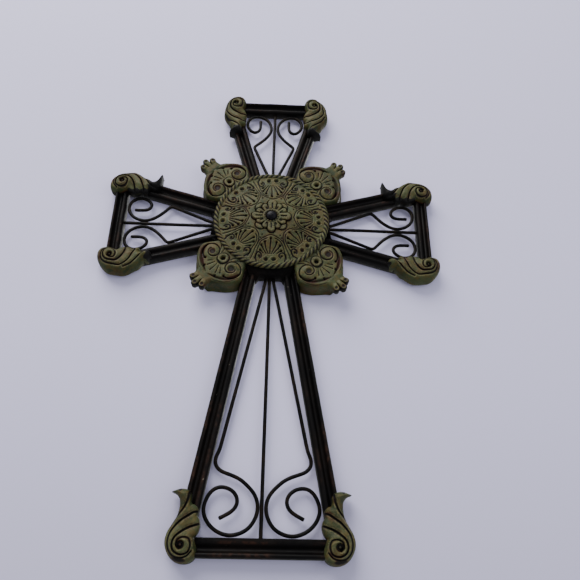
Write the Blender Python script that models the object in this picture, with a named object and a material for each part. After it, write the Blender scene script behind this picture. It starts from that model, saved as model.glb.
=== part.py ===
"""Wall cross: a cast frame with carved ornaments, and bent wires in its four open arms.

Everything is laid out flat, as on a bench, with X to the right, Y up the long axis of the cross
and Z out of its flat back. One empty then turns it upright, so the back lies in the plane y = 0
and the front looks along -Y. Run it with: blender --background --python part.py
"""

import math

import bmesh
import bpy
from mathutils import Matrix, Vector
from mathutils.geometry import delaunay_2d_cdt

MM = 0.001

# Overall frame
SHORT_REACH = 144.7 * MM        # centre to the outer edge of the top, left and right bars
LONG_REACH = 275.8 * MM         # centre to the outer edge of the bottom bar
SHORT_END_HALF = 51.4 * MM      # half the width across the rails at a short arm's end
LONG_END_HALF = 63.3 * MM       # the same at the long arm's end
ROOT_HALF = 24.6 * MM           # half the width across the rails where they leave the hub
SHORT_RAIL_WIDTH = 13.2 * MM
SHORT_BAR_WIDTH = 11.2 * MM
LONG_RAIL_WIDTH = 12.4 * MM
LONG_BAR_WIDTH = 13.8 * MM
RAIL_SINK = 9.0 * MM            # how far the rails run on inside the hub
CORNER_CUT = 5.0 * MM           # the frame's outer corners are cut off under the scrolls
CORNER_EASE = 0.3 * MM          # and its window corners are eased by this much

# Rail moulding, as (share of the width from the outer edge, height)
MOULDING = [
    (0.00, 0.0), (0.00, 6.6 * MM), (0.05, 9.0 * MM), (0.15, 10.5 * MM), (0.26, 10.0 * MM),
    (0.34, 7.4 * MM), (0.54, 6.4 * MM), (0.62, 8.0 * MM), (0.77, 8.9 * MM), (0.93, 8.1 * MM),
    (1.00, 6.0 * MM), (1.00, 0.0),
]

# Hub below the rosette
ROPE_RADIUS = 49.2 * MM         # centre of the cross to the middle of the rope
ROPE_HALF_WIDTH = 2.7 * MM
ROPE_EDGE = ROPE_RADIUS + ROPE_HALF_WIDTH
HUB_RADIUS = ROPE_RADIUS + 1.0 * MM
HUB_WALL = ROPE_RADIUS + 3.8 * MM       # centre to the wall that closes each arm's window
HUB_HEIGHT = 14.4 * MM
HUB_SIDES = 40
WALL_BLOCK_HALF = 19.0 * MM
WALL_BLOCK_HEIGHT = 12.6 * MM

# Wires
WIRE_RADIUS = 1.35 * MM
WIRE_HEIGHT = 3.9 * MM          # centre of the wires above the flat back
CLEARANCE = 0.3 * MM            # gap between a wire and what it touches
SOCKET_DEPTH = 3.0 * MM
SOCKET_SIDES = 8
WIRE_BEVEL_RESOLUTION = 1       # six sides

# Corner scrolls: an acanthus leaf that rolls up round an eye at each outer corner
SHORT_EYE_INSET = (6.0 * MM, 12.4 * MM)     # the eye, in from the bar's end and the rail's side
LONG_EYE_INSET = (8.4 * MM, 7.5 * MM)
SHORT_SCROLL_SCALE = 0.93
LONG_SCROLL_SCALE = 1.0
SHORT_LEAF_BOW = 4.8 * MM       # how far the leaf's middle swells outwards on a short arm
LONG_LEAF_BOW = 0.0
LEAF_BASE = 2.0 * MM            # underside of the leaf above the flat back
LEAF_RIM = 6.0 * MM             # height of the leaf's outer edge
LOBE_RISE = 3.6 * MM            # how much higher its edge is over the window
HORN_RISE = 3.4 * MM
LEAF_CROWN = 14.2 * MM          # height of the ribs
VOLUTE_RISE = 2.2 * MM
LEAF_ROUNDING = 4.8 * MM        # width of the rounded edge
# How far each leaf's foot swells outwards, left and right of its arm; the casting is uneven
LEAF_FLARE = {"top": (0.0, 2.4 * MM), "left": (3.4 * MM, 0.6 * MM), "bottom": (0.0, 0.0),
              "right": (0.6 * MM, 3.4 * MM)}
# How much farther each leaf's horn stands out; the lower side leaves have none
LEAF_HORN = {"top": (-0.6 * MM, 1.0 * MM), "left": (-5.0 * MM, 6.2 * MM), "bottom": (0.5 * MM, 0.5 * MM),
             "right": (6.4 * MM, -5.0 * MM)}
LEAF_GROOVE = 2.2 * MM
GROOVE_HALF_WIDTH = 1.3 * MM
EYE_DEPTH = 3.4 * MM

# Palmettes in the four crooks
PALMETTE_BASE = 0.5 * MM
RING_AT = 5.6 * MM              # out from the rope's edge, along the diagonal
VOLUTE_AT = (7.4 * MM, 12.8 * MM)
PALMETTE_RIM = 13.4 * MM
PALMETTE_CROWN = 16.0 * MM
PALMETTE_VOLUTE_RISE = 1.8 * MM
PALMETTE_GROOVE = 2.2 * MM
PALMETTE_GROOVE_HALF_WIDTH = 1.0 * MM
SPIRAL_RADIUS = 6.8 * MM
SPIRAL_STEP = 0.46 * MM         # how much the spiral closes for each turn of SPIRAL_TURN
SPIRAL_TURN = 44.0
RING_RADIUS = 3.6 * MM
RING_RISE = 1.8 * MM
CLAW_RADIUS = 2.8 * MM          # rounded end of each of a tip's three claws
CLAWS = [(35.2 * MM, 5.7 * MM), (38.2 * MM, 0.0), (35.2 * MM, -5.7 * MM)]
TIP_BASE = 8.0 * MM             # underside of the tip above the flat back
TIP_RIM = 13.8 * MM
TIP_RISE = 3.2 * MM

# Rosette over the hub
ROPE_STRANDS = 64
OVAL = 0.962                    # the rosette is a little lower than it is wide,
OVAL_LIFT = 1.2 * MM            # and its edge sits this much higher than its middle
ROUND_HEART = (8.0 * MM, 16.0 * MM)     # it is round up to the first radius, and oval from the second
ROPE_FOOT = 14.8 * MM
ROPE_RISE = 3.6 * MM
STRAND_DEPTH = 1.3 * MM
ROSETTE_BASE = 11.0 * MM        # the rosette's underside, inside the hub
FIELD_EDGE_HEIGHT = 16.2 * MM   # relief field beside the rope
FIELD_CROWN_HEIGHT = 22.0 * MM  # relief field beside the flower
FIELD_CROWN_RADIUS = 18.0 * MM
FIELD_EDGE_RADIUS = ROPE_RADIUS - 2.2 * MM
SECTORS = 8
ARCH_FOOT_RADIUS = ROPE_RADIUS - 4.0 * MM
ARCH_APEX_RADIUS = 23.6 * MM
ARCH_RISE = 1.6 * MM
FAN_ORIGIN_RADIUS = ROPE_RADIUS - 8.2 * MM
FAN_DEPTH = 1.5 * MM
FLOWER_RADIUS = 17.6 * MM
FLOWER_SMALL_RADIUS = 15.2 * MM
FLOWER_NOTCH_RADIUS = 12.8 * MM
FLOWER_RISE = 2.2 * MM
PETAL_CUP = 1.3 * MM

# Dark bead set in the flower
BEAD_RADIUS = 4.7 * MM
BEAD_SIDES = 16
BEAD_SEAT_RADIUS = BEAD_RADIUS + CLEARANCE
BEAD_SEAT_DEPTH = 1.2 * MM
COLLAR_WIDTH = 1.7 * MM
COLLAR_RISE = 0.4 * MM
BEAD_TOP = 27.2 * MM

# Each kind of arm: reach, half width at the end, rail width, bar width
SHORT_ARM = (SHORT_REACH, SHORT_END_HALF, SHORT_RAIL_WIDTH, SHORT_BAR_WIDTH)
LONG_ARM = (LONG_REACH, LONG_END_HALF, LONG_RAIL_WIDTH, LONG_BAR_WIDTH)
ARMS = [("top", 90.0, SHORT_ARM), ("left", 180.0, SHORT_ARM), ("bottom", 270.0, LONG_ARM),
        ("right", 0.0, SHORT_ARM)]


def clear_scene():
    for old in list(bpy.data.objects):
        bpy.data.objects.remove(old, do_unlink=True)


def new_collection(name):
    made = bpy.data.collections.new(name)
    bpy.context.scene.collection.children.link(made)
    return made


def make_material(name, colour, metallic, roughness):
    material = bpy.data.materials.new(name)
    material.use_nodes = True
    shader = material.node_tree.nodes["Principled BSDF"]
    shader.inputs["Base Color"].default_value = (*colour, 1.0)
    shader.inputs["Metallic"].default_value = metallic
    shader.inputs["Roughness"].default_value = roughness
    material.diffuse_color = (*colour, 1.0)
    return material


def smooth_step(value, start, end):
    share = min(max((value - start) / (end - start), 0.0), 1.0)
    return share * share * (3.0 - 2.0 * share)


def scaled(points, factor=MM):
    return [(x * factor, y * factor) for x, y in points]


def smooth_curve(points, steps, closed=False):
    """Catmull-Rom curve through the points, with this many steps from one to the next."""
    count = len(points)
    spans = count if closed else count - 1
    curve = []
    for span in range(spans):
        if closed:
            near = [Vector(points[(span + k) % count]) for k in (-1, 0, 1, 2)]
        else:
            near = [Vector(points[min(max(span + k, 0), count - 1)]) for k in (-1, 0, 1, 2)]
        before, start, end, after = near
        for step in range(steps):
            u = step / steps
            curve.append(0.5 * (
                2.0 * start + (end - before) * u
                + (2.0 * before - 5.0 * start + 4.0 * end - after) * u * u
                + (3.0 * start - before - 3.0 * end + after) * u ** 3))
    if not closed:
        curve.append(Vector(points[-1]))
    return curve


def arc_points(centre, radius, start, end, count):
    """Points on an arc, with its angles in degrees."""
    angles = [math.radians(start + (end - start) * k / (count - 1)) for k in range(count)]
    return [Vector((centre[0] + radius * math.cos(a), centre[1] + radius * math.sin(a))) for a in angles]


def polar(radius, degrees):
    return Vector((radius * math.cos(math.radians(degrees)), radius * math.sin(math.radians(degrees))))


def scallop(start, end, bulge, count):
    """A bow from start to end that swells by bulge to the left of its chord, without its last point."""
    start, end = Vector(start), Vector(end)
    chord = end - start
    side = Vector((-chord.y, chord.x)).normalized()
    bow = []
    for k in range(count):
        share = k / count
        bow.append(start + chord * share + side * bulge * math.sin(math.pi * share) ** 0.7)
    return bow


def distance_to_line(point, line):
    """Shortest distance from a point to a polyline."""
    nearest = math.inf
    for start, end in zip(line, line[1:]):
        along = end - start
        length = along.length_squared
        share = 0.0 if length == 0.0 else min(max((point - start).dot(along) / length, 0.0), 1.0)
        nearest = min(nearest, (point - start - along * share).length)
    return nearest


def relief_mesh(name, outline, lines, height, base):
    """Closed solid over a flat outline: its top passes through the lines at height(point)."""
    area = sum(a.cross(b) for a, b in zip(outline, outline[1:] + outline[:1]))
    if area < 0.0:
        outline = outline[::-1]
    points = list(outline)
    edges = [(k, (k + 1) % len(outline)) for k in range(len(outline))]
    for line in lines:
        first = len(points)
        points.extend(line)
        edges.extend((first + k, first + k + 1) for k in range(len(line) - 1))
    flat, _, triangles, _, _, _ = delaunay_2d_cdt(
        points, edges, [list(range(len(outline)))], 1, 1e-7)
    bm = bmesh.new()
    top = [bm.verts.new((p.x, p.y, height(p))) for p in flat]
    for triangle in triangles:
        bm.faces.new([top[k] for k in triangle])
    rim = [edge for edge in bm.edges if edge.is_boundary]
    lower = {}
    for edge in rim:
        for vert in edge.verts:
            if vert not in lower:
                lower[vert] = bm.verts.new((vert.co.x, vert.co.y, base))
    below = []
    for edge in rim:
        a, b = edge.verts
        bm.faces.new((a, b, lower[b], lower[a]))
    for edge in bm.edges:
        if edge.is_boundary:
            below.append(edge)
    bmesh.ops.contextual_create(bm, geom=below)
    return finish_mesh(name, bm)


def finish_mesh(name, bm):
    bmesh.ops.recalc_face_normals(bm, faces=bm.faces)
    mesh = bpy.data.meshes.new(name)
    bm.to_mesh(mesh)
    bm.free()
    return mesh


def placed_copy(mesh, name, matrix):
    """A mesh of its own, moved by the matrix and kept right side out when that mirrors it."""
    copy = mesh.copy()
    copy.name = name
    copy.transform(matrix)
    if matrix.determinant() < 0.0:
        copy.flip_normals()
    return copy


def arm_matrix(angle):
    return Matrix.Rotation(math.radians(angle), 4, "Z")


def arm_slope(reach, end_half):
    """How much an arm's side spreads for each metre along it."""
    return (end_half - ROOT_HALF) / (reach - HUB_WALL)


# Frame of one arm
def arm_frame_mesh(name, reach, end_half, rail_width, bar_width):
    """The moulding swept along one rail, across the bar and back, with its outer corners cut off."""
    slope = arm_slope(reach, end_half)
    lean = math.sqrt(1.0 + slope * slope)
    root = HUB_WALL - RAIL_SINK

    def rail_side(along, share):
        return end_half + slope * (along - reach) - share * rail_width * lean

    def foot(share):
        return root, rail_side(root, share)

    def cut(share):
        return CORNER_EASE + (CORNER_CUT - CORNER_EASE) * (1.0 - share)

    def rail_end(share):
        along = reach - share * bar_width - cut(share)
        return along, rail_side(along, share)

    def bar_end(share):
        along = reach - share * bar_width
        return along, rail_side(along, share) - cut(share)

    bm = bmesh.new()
    stations = []
    for place, side in ((foot, 1.0), (rail_end, 1.0), (bar_end, 1.0), (bar_end, -1.0), (rail_end, -1.0),
                        (foot, -1.0)):
        section = []
        for share, height in MOULDING:
            along, across = place(share)
            section.append(bm.verts.new((along, side * across, height)))
        stations.append(section)
    for here, there in zip(stations, stations[1:]):
        for k in range(len(MOULDING)):
            after = (k + 1) % len(MOULDING)
            bm.faces.new((here[k], here[after], there[after], there[k]))
    bm.faces.new(stations[0])
    bm.faces.new(stations[-1][::-1])
    return finish_mesh(name, bm)


def hub_mesh():
    """Round block under the rosette, with a flat wall across each arm's window."""
    bm = bmesh.new()
    bmesh.ops.create_cone(
        bm, cap_ends=True, segments=HUB_SIDES, radius1=HUB_RADIUS, radius2=HUB_RADIUS,
        depth=HUB_HEIGHT, matrix=Matrix.Translation((0.0, 0.0, HUB_HEIGHT / 2.0)))
    return finish_mesh("hub", bm)


def wall_block_mesh(name, angle):
    """Bar through the hub whose two ends are the walls of two opposite windows."""
    bm = bmesh.new()
    size = Matrix.Diagonal((2.0 * HUB_WALL, 2.0 * WALL_BLOCK_HALF, WALL_BLOCK_HEIGHT, 1.0))
    place = arm_matrix(angle) @ Matrix.Translation((0.0, 0.0, WALL_BLOCK_HEIGHT / 2.0))
    bmesh.ops.create_cube(bm, size=1.0, matrix=place @ size)
    return finish_mesh(name, bm)


# Corner scroll, in its own frame: x from the eye towards the hub, y away from the arm
def bowed(points, bow):
    """Points in mm turned into metres, with the leaf between eye and horn swelled outwards by bow."""
    shaped = []
    for x, y in points:
        swell = smooth_step(x, -3.0, 13.0) * (1.0 - 0.8 * smooth_step(x, 21.0, 33.0))
        swell *= 0.5 + 0.5 * smooth_step(y, -8.0, 8.0)
        shaped.append(Vector((x * MM, y * MM + bow * swell)))
    return shaped


def flared(points, flare):
    """Points in metres, with those on the leaf's outer side moved outwards by flare."""
    moved = []
    for point in points:
        x, y = point.x / MM, point.y / MM
        share = smooth_step(y, 0.0, 8.0) * smooth_step(x, -14.0, -4.0) * (1.0 - smooth_step(x, 20.0, 30.0))
        moved.append(Vector((point.x - 0.25 * flare * smooth_step(-x, 0.0, 8.0), point.y + flare * share)))
    return moved


def scroll_outline(bow, horn_reach, flare):
    reach = horn_reach / MM
    horn_end = [(28.8, 8.8), (31.2, 10.8), (32.5, 13.2 + 0.5 * reach), (33.1, 15.4 + reach),
                (34.6, 13.4 + 0.7 * reach), (36.4, 10.0 + 0.2 * reach), (37.0, 6.2), (36.4, 3.0),
                (33.6, 1.2)]
    notches = [(27.8, -0.8), (20.8, -6.2), (6.6, -7.6)]
    bulges = [2.6, 3.0]
    volute = [(3.4, -9.4), (-0.4, -11.2), (-4.4, -11.8), (-8.0, -10.8), (-10.8, -7.6), (-12.0, -3.2),
              (-11.6, 1.6), (-9.6, 5.8), (-6.6, 9.0), (-3.0, 11.4), (1.2, 12.6), (6.8, 12.2),
              (13.2, 10.0), (19.4, 8.0), (24.6, 8.0)]
    outline = bowed(horn_end, bow)
    corners = bowed(notches, bow)
    for start, end, bulge in zip(corners, corners[1:], bulges):
        outline += scallop(start, end, -bulge * MM, 5)
    outline.append(corners[-1])
    return flared(outline + bowed(volute, bow), flare)


def scroll_grooves(bow):
    """The lines between the leaf's ribs; each sweeps from a notch round the volute."""
    horn_line = [(34.4, 2.6), (29.8, 2.6), (24.8, 3.8), (20.4, 5.8), (15.4, 8.4)]
    outer_line = [(23.0, -5.4), (22.4, -3.2), (18.6, 0.6), (14.0, 4.6), (7.4, 8.8), (1.0, 9.5),
                  (-4.4, 7.6), (-7.8, 3.3), (-8.4, -1.6), (-6.4, -6.0)]
    inner_line = [(15.0, -7.2), (12.4, -3.2), (8.6, 1.4), (4.2, 5.2), (-0.6, 6.0), (-4.6, 3.8),
                  (-6.2, -1.4), (-4.0, -6.0), (0.8, -7.2), (4.4, -5.4)]
    return [smooth_curve(bowed(line, bow), 2) for line in (horn_line, outer_line, inner_line)]


def between(first, second, shares):
    """Points halfway between two lines, read at the same shares of their lengths."""
    def at(line, share):
        place = share * (len(line) - 1)
        k = min(int(place), len(line) - 2)
        return line[k].lerp(line[k + 1], place - k)
    return [(at(first, share) + at(second, share)) / 2.0 for share in shares]


def scroll_crests(grooves, bow):
    """Tops of the ribs, which lie between the grooves."""
    horn_rib = [(35.2, 8.2), (30.0, 6.0), (24.4, 6.0)]
    upper_rib = [(28.6, 1.0), (23.0, 1.8), (18.0, 5.0), (12.2, 8.4), (6.4, 10.9), (0.4, 11.3)]
    outer_band = [(-5.8, 9.2), (-9.9, 4.0), (-10.3, -2.0), (-8.6, -7.2), (-3.6, -9.6)]
    lobe_tip = [(25.6, -4.2), (22.8, -1.0)]
    lower_rib = [(10.4, -8.2), (8.8, -3.6), (5.6, 1.4)]
    ring = [(3.2, 2.8), (-0.5, 4.0), (-4.1, 1.6), (-4.8, -2.6), (-2.2, -5.0), (1.2, -5.2), (3.2, -2.8)]
    crests = [bowed(line, bow) for line in (horn_rib, upper_rib, outer_band, lobe_tip, lower_rib, ring)]
    return crests + [between(grooves[1][:11], grooves[2][:9], [0.0, 0.25, 0.5, 0.75, 1.0])]


def scroll_mesh(bow, horn_reach, flare):
    outline = scroll_outline(bow, horn_reach, flare)
    grooves = scroll_grooves(bow)
    crests = scroll_crests(grooves, bow)
    closed = outline + outline[:1]

    def height(point):
        x, y = point.x / MM, point.y / MM
        over_window = smooth_step(-y, -3.0, 3.0) * smooth_step(x, 3.0, 9.0)
        horn = smooth_step(x, 24.0, 34.0)
        rim = LEAF_RIM - 0.3 * flare + LOBE_RISE * over_window + HORN_RISE * horn
        from_eye = point.length / MM
        crown = LEAF_CROWN + HORN_RISE * horn * 0.7 + VOLUTE_RISE * (1.0 - smooth_step(from_eye, 4.0, 13.0))
        crown -= LOBE_RISE * over_window * 0.4
        inward = min(distance_to_line(point, closed) / (LEAF_ROUNDING + 0.6 * flare * (y > 0.0)), 1.0)
        z = rim + (crown - rim) * math.sqrt(max(1.0 - (1.0 - inward) ** 2, 0.0))
        nearest = min(distance_to_line(point, groove) for groove in grooves)
        z -= LEAF_GROOVE * max(1.0 - nearest / GROOVE_HALF_WIDTH, 0.0) * (0.4 + 0.6 * inward)
        return z - EYE_DEPTH * (1.0 - smooth_step(from_eye, 1.4, 2.6))

    eye = arc_points((0.0, 0.0), 1.3 * MM, 0.0, 240.0, 3)
    return relief_mesh("corner_scroll", outline, grooves + crests + [eye], height, LEAF_BASE)


def scroll_matrix(angle, reach, end_half, eye_inset, scale, side):
    """Places a scroll at one outer corner of an arm."""
    slope_angle = math.atan(arm_slope(reach, end_half))
    c, s = math.cos(slope_angle), math.sin(slope_angle)
    along, across = reach - eye_inset[0], end_half - eye_inset[1]
    turn = Matrix((
        (-c * scale, -s * scale, 0.0, along),
        (-s * scale * side, c * scale * side, 0.0, across * side),
        (0.0, 0.0, 1.0, 0.0),
        (0.0, 0.0, 0.0, 1.0)))
    return arm_matrix(angle) @ turn


# Palmette, in its own frame: x out from the rope's edge along the diagonal, y across it
def mirrored(points):
    """Points of the side with y above zero, followed by their mirror images in reverse."""
    return points + [Vector((p.x, -p.y)) for p in reversed(points) if p.y > 1e-6]


def mirror_line(line):
    return [Vector((p.x, -p.y)) for p in line]


def palmette_outline():
    lobe = smooth_curve(scaled([(-7.9, 15.0), (0.6, 20.6), (7.6, 24.4), (14.1, 22.6), (19.5, 18.8),
                                (23.9, 13.4), (26.9, 8.6), (29.2, 5.6)]), 2)
    return mirrored(lobe)[::-1]


def tip_outline():
    """Broad neck and three short claws at the tip of a palmette."""
    side_claw, end_claw = CLAWS[0], CLAWS[1]
    half = [Vector(p) for p in scaled([(24.0, 10.0), (30.2, 8.0)])]
    half += arc_points(side_claw, CLAW_RADIUS, 118.0, -30.0, 6)
    half += arc_points(end_claw, CLAW_RADIUS, 90.0, 0.0, 4)
    return mirrored(half)[::-1]


def tip_mesh():
    outline = tip_outline()
    closed = outline + outline[:1]
    claws = [Vector(claw) for claw in CLAWS]
    rounds = [[claw + polar(CLAW_RADIUS * 0.5, 72.0 * k) for k in range(6)] for claw in claws]
    between_claws = [Vector((CLAWS[0][0] - 1.6 * MM, 0.0)), Vector((CLAWS[0][0] - 0.6 * MM, 0.0))]

    def height(point):
        inward = min(distance_to_line(point, closed) / CLAW_RADIUS, 1.0)
        near_claw = min(min((point - claw).length for claw in claws) / CLAW_RADIUS, 1.0)
        return TIP_RIM + TIP_RISE * max(math.sqrt(1.0 - near_claw ** 2), inward * 0.45)

    middles = [[claw, claw + Vector((0.3 * MM, 0.0))] for claw in claws]
    return relief_mesh("palmette_tip", outline, rounds + middles + [between_claws], height, TIP_BASE)


def palmette_spiral(inset, turns):
    """Line that winds into one volute from the foot of the fan, moved inwards by inset."""
    centre = Vector(VOLUTE_AT)
    return [centre + polar(SPIRAL_RADIUS - SPIRAL_STEP * k - inset, SPIRAL_TURN * k - 70.0)
            for k in range(turns)]


def ray(foot, degrees, start, end):
    way = polar(1.0, degrees)
    return [foot + way * start * MM, foot + way * end * MM]


def palmette_mesh():
    outline = palmette_outline()
    closed = outline + outline[:1]
    spiral = palmette_spiral(0.0, 11)
    spiral_crest = palmette_spiral(SPIRAL_STEP * 180.0 / SPIRAL_TURN, 6)
    rim_groove = smooth_curve(scaled([(7.0, 21.2), (13.2, 19.6), (17.8, 16.2), (21.4, 11.4)]), 1)
    rim_crest = smooth_curve(scaled([(7.4, 22.8), (13.8, 21.2), (18.8, 17.6), (22.8, 12.4)]), 1)
    fan_foot = Vector((RING_AT + 5.4 * MM, 0.0))
    fan = [ray(fan_foot, degrees, 1.5, 11.5 - 0.06 * abs(degrees)) for degrees in (-52.0, -18.0, 18.0, 52.0)]
    fan_crests = [ray(fan_foot, degrees, 4.0, 10.5) for degrees in (-35.0, 0.0, 35.0)]
    ring_centre = Vector((RING_AT, 0.0))
    rings = []
    for radius in (1.6, 3.6, 5.4):
        ring = arc_points(ring_centre, radius * MM, 0.0, 315.0, 8)
        rings.append(ring + ring[:1])
    volutes = [Vector((VOLUTE_AT[0], side * VOLUTE_AT[1])) for side in (1.0, -1.0)]
    short_step = Vector((0.5 * MM, 0.0))
    middles = [[spot + short_step, spot - short_step] for spot in volutes]
    grooves = [spiral, mirror_line(spiral), rim_groove, mirror_line(rim_groove)] + fan

    def height(point):
        inward = min(distance_to_line(point, closed) / (2.6 * MM), 1.0)
        z = PALMETTE_RIM + (PALMETTE_CROWN - PALMETTE_RIM) * math.sqrt(max(1.0 - (1.0 - inward) ** 2, 0.0))
        near_volute = min((point - eye).length for eye in volutes) / MM
        z += PALMETTE_VOLUTE_RISE * (1.0 - smooth_step(near_volute, 2.0, 9.0))
        nearest = min(distance_to_line(point, groove) for groove in grooves)
        z -= PALMETTE_GROOVE * max(1.0 - nearest / PALMETTE_GROOVE_HALF_WIDTH, 0.0)
        from_ring = abs((point - ring_centre).length - RING_RADIUS)
        z += RING_RISE * max(1.0 - from_ring / (1.7 * MM), 0.0)
        return z - 1.8 * MM * smooth_step(point.x / MM, 23.0, 29.0)

    lines = grooves + [spiral_crest, mirror_line(spiral_crest), rim_crest, mirror_line(rim_crest)]
    lines += fan_crests + rings + middles
    return relief_mesh("palmette", outline, lines, height, PALMETTE_BASE)


def palmette_matrix(angle):
    return arm_matrix(angle + 45.0) @ Matrix.Translation((ROPE_EDGE, 0.0, 0.0))


# Rosette over the hub, in polar terms
def rope_lines():
    """Inner edge, crown and outer edge of the rope, a hill and a dip to each strand."""
    pitch = 360.0 / ROPE_STRANDS
    lines = []
    for offset, lag in ((-0.95, 0.55), (0.0, 0.0), (1.0, -0.55)):
        radius = ROPE_RADIUS + offset * ROPE_HALF_WIDTH
        line = []
        for k in range(2 * ROPE_STRANDS):
            swell = 0.25 * MM if k % 2 == 0 and offset > 0.0 else 0.0
            line.append(polar(radius + swell, (k / 2.0 + lag) * pitch))
        lines.append(line)
    return lines


def arch_line(sector):
    """Rib round one fan: a pointed arch that stands on the rope and points to the flower."""
    middle = sector * 360.0 / SECTORS
    half = 180.0 / SECTORS
    shape = [(1.0, 0.90), (0.72, 0.86), (0.38, 0.60), (0.0, 0.0)]
    left = []
    for rise, spread in shape:
        radius = ARCH_APEX_RADIUS + rise * (ARCH_FOOT_RADIUS - ARCH_APEX_RADIUS)
        left.append(polar(radius, middle + spread * half))
    right = []
    for rise, spread in shape[-2::-1]:
        radius = ARCH_APEX_RADIUS + rise * (ARCH_FOOT_RADIUS - ARCH_APEX_RADIUS)
        right.append(polar(radius, middle - spread * half))
    return left + right


def fan_lines(sector):
    """Grooves of one fan, which spread from its foot by the rope towards the flower."""
    middle = sector * 360.0 / SECTORS
    foot = polar(FAN_ORIGIN_RADIUS, middle)
    lines = []
    for spread, reach in ((-58.0, 7.5), (-24.0, 11.5), (24.0, 11.5), (58.0, 7.5)):
        way = polar(1.0, middle + 180.0 + spread)
        lines.append([foot + way * 2.4 * MM, foot + way * reach * MM])
    return lines


def flower_lines():
    """Edge of the flower and the ground round it, with large and small petals in turn."""
    edge, ground = [], []
    petals = 2 * SECTORS
    for k in range(petals):
        middle = k * 360.0 / petals
        tip = FLOWER_RADIUS if k % 2 == 0 else FLOWER_SMALL_RADIUS
        for turn, radius in ((-0.5, FLOWER_NOTCH_RADIUS), (-0.26, tip - 0.7 * MM), (0.26, tip - 0.7 * MM)):
            edge.append(polar(radius, middle + turn * 360.0 / petals))
            ground.append(polar(radius + 0.9 * MM, middle + turn * 360.0 / petals))
    return edge, ground


def rosette_mesh():
    rope = rope_lines()
    arches = [arch_line(k) for k in range(SECTORS)]
    fans = [line for k in range(SECTORS) for line in fan_lines(k)]
    edge, ground = flower_lines()
    turn = 360.0 / BEAD_SIDES
    seat_floor = [polar(BEAD_SEAT_RADIUS, k * turn) for k in range(BEAD_SIDES)]
    seat = [polar(BEAD_SEAT_RADIUS + 0.2 * MM, k * turn) for k in range(BEAD_SIDES)]
    collar = [polar(BEAD_SEAT_RADIUS + COLLAR_WIDTH, k * turn) for k in range(BEAD_SIDES)]
    petal_cups = [[polar(10.4 * MM, k * 22.5), polar(FLOWER_RADIUS - 4.6 * MM, k * 22.5)]
                  for k in range(0, 2 * SECTORS, 2)]
    crown_ring, foot_ring = rope[1], rope[0]
    hills = {tuple(p) for line in rope for p in line[::2]}
    arch_points_set = {tuple(p) for arch in arches for p in arch}
    fan_points_set = {tuple(p) for fan in fans for p in fan}
    cup_points_set = {tuple(p) for cup in petal_cups for p in cup}

    def key(point, known):
        return any((Vector(other) - point).length < 1e-6 for other in known)

    def height(point):
        radius = point.length
        if radius > ROPE_RADIUS - ROPE_HALF_WIDTH * 0.97:
            across = abs(radius - ROPE_RADIUS) / ROPE_HALF_WIDTH
            z = ROPE_FOOT + ROPE_RISE * math.sqrt(max(1.0 - across * across, 0.0))
            return z if key(point, hills) else z - STRAND_DEPTH
        field = FIELD_EDGE_HEIGHT + (FIELD_CROWN_HEIGHT - FIELD_EDGE_HEIGHT) * (
            1.0 - smooth_step(radius, FIELD_CROWN_RADIUS, FIELD_EDGE_RADIUS))
        if key(point, arch_points_set):
            return field + ARCH_RISE
        if key(point, fan_points_set):
            return field - FAN_DEPTH
        if key(point, cup_points_set):
            return field + FLOWER_RISE - PETAL_CUP
        if any((point - p).length < 1e-6 for p in edge):
            return field + FLOWER_RISE
        if radius < BEAD_SEAT_RADIUS + 0.1 * MM:
            return FIELD_CROWN_HEIGHT + FLOWER_RISE - BEAD_SEAT_DEPTH
        if radius < BEAD_SEAT_RADIUS + COLLAR_WIDTH + 0.1 * MM:
            return FIELD_CROWN_HEIGHT + FLOWER_RISE + COLLAR_RISE
        return field

    def loop(points):
        return points + points[:1]

    lines = [loop(foot_ring), loop(crown_ring), loop(edge), loop(ground), loop(seat),
             loop(seat_floor), loop(collar)]
    mesh = relief_mesh("rosette", rope[2], lines + arches + fans + petal_cups, height, ROSETTE_BASE)
    for vert in mesh.vertices:
        radius = vert.co.xy.length
        squash = (1.0 - OVAL) * smooth_step(radius, *ROUND_HEART)
        vert.co.y = vert.co.y * (1.0 - squash) + OVAL_LIFT * (radius / ROPE_EDGE) ** 2
    return mesh


# Wires, in an arm's frame: x out along the arm, y across it
# Each point is (back from the bar in mm, share of the way from the rod to the rail)
SHORT_SCROLL_PATH = [
    (42.4, 0.91), (39.1, 0.96), (34.6, 0.61), (28.2, 0.26), (21.8, 0.06), (15.6, 0.0), (8.4, 0.07),
    (2.8, 0.23), (0.4, 0.44), (1.4, 0.66), (5.6, 0.84), (11.2, 0.94), (17.2, 0.92), (21.2, 0.76),
    (20.0, 0.57), (15.9, 0.46), (6.0, 0.41)]
LONG_SCROLL_PATH = [
    (59.3, 0.93), (54.1, 0.98), (48.9, 0.95), (44.5, 0.81), (42.4, 0.63), (39.0, 0.39), (33.6, 0.20),
    (27.7, 0.06), (20.5, 0.0), (12.3, 0.03), (4.7, 0.15), (0.7, 0.33), (0.1, 0.51), (3.2, 0.71),
    (8.8, 0.87), (16.3, 0.98), (23.3, 0.98), (30.1, 0.91), (33.2, 0.76), (31.8, 0.56), (27.5, 0.42),
    (22.6, 0.38), (18.0, 0.42), (14.7, 0.52), (11.2, 0.68)]


def scroll_path(shape, reach, end_half, rail_width, bar_width):
    """The bent wire in metres, held clear of the rod, the rail and the bar."""
    slope = arm_slope(reach, end_half)
    lean = math.sqrt(1.0 + slope * slope)
    farthest = reach - bar_width - WIRE_RADIUS - CLEARANCE
    beside_rod = 2.0 * WIRE_RADIUS + CLEARANCE
    path = []
    for back, share in shape:
        along = farthest - back * MM
        beside_rail = end_half + slope * (along - reach) - (rail_width + WIRE_RADIUS + CLEARANCE) * lean
        path.append((along, beside_rod + share * (beside_rail - beside_rod)))
    return path


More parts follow.
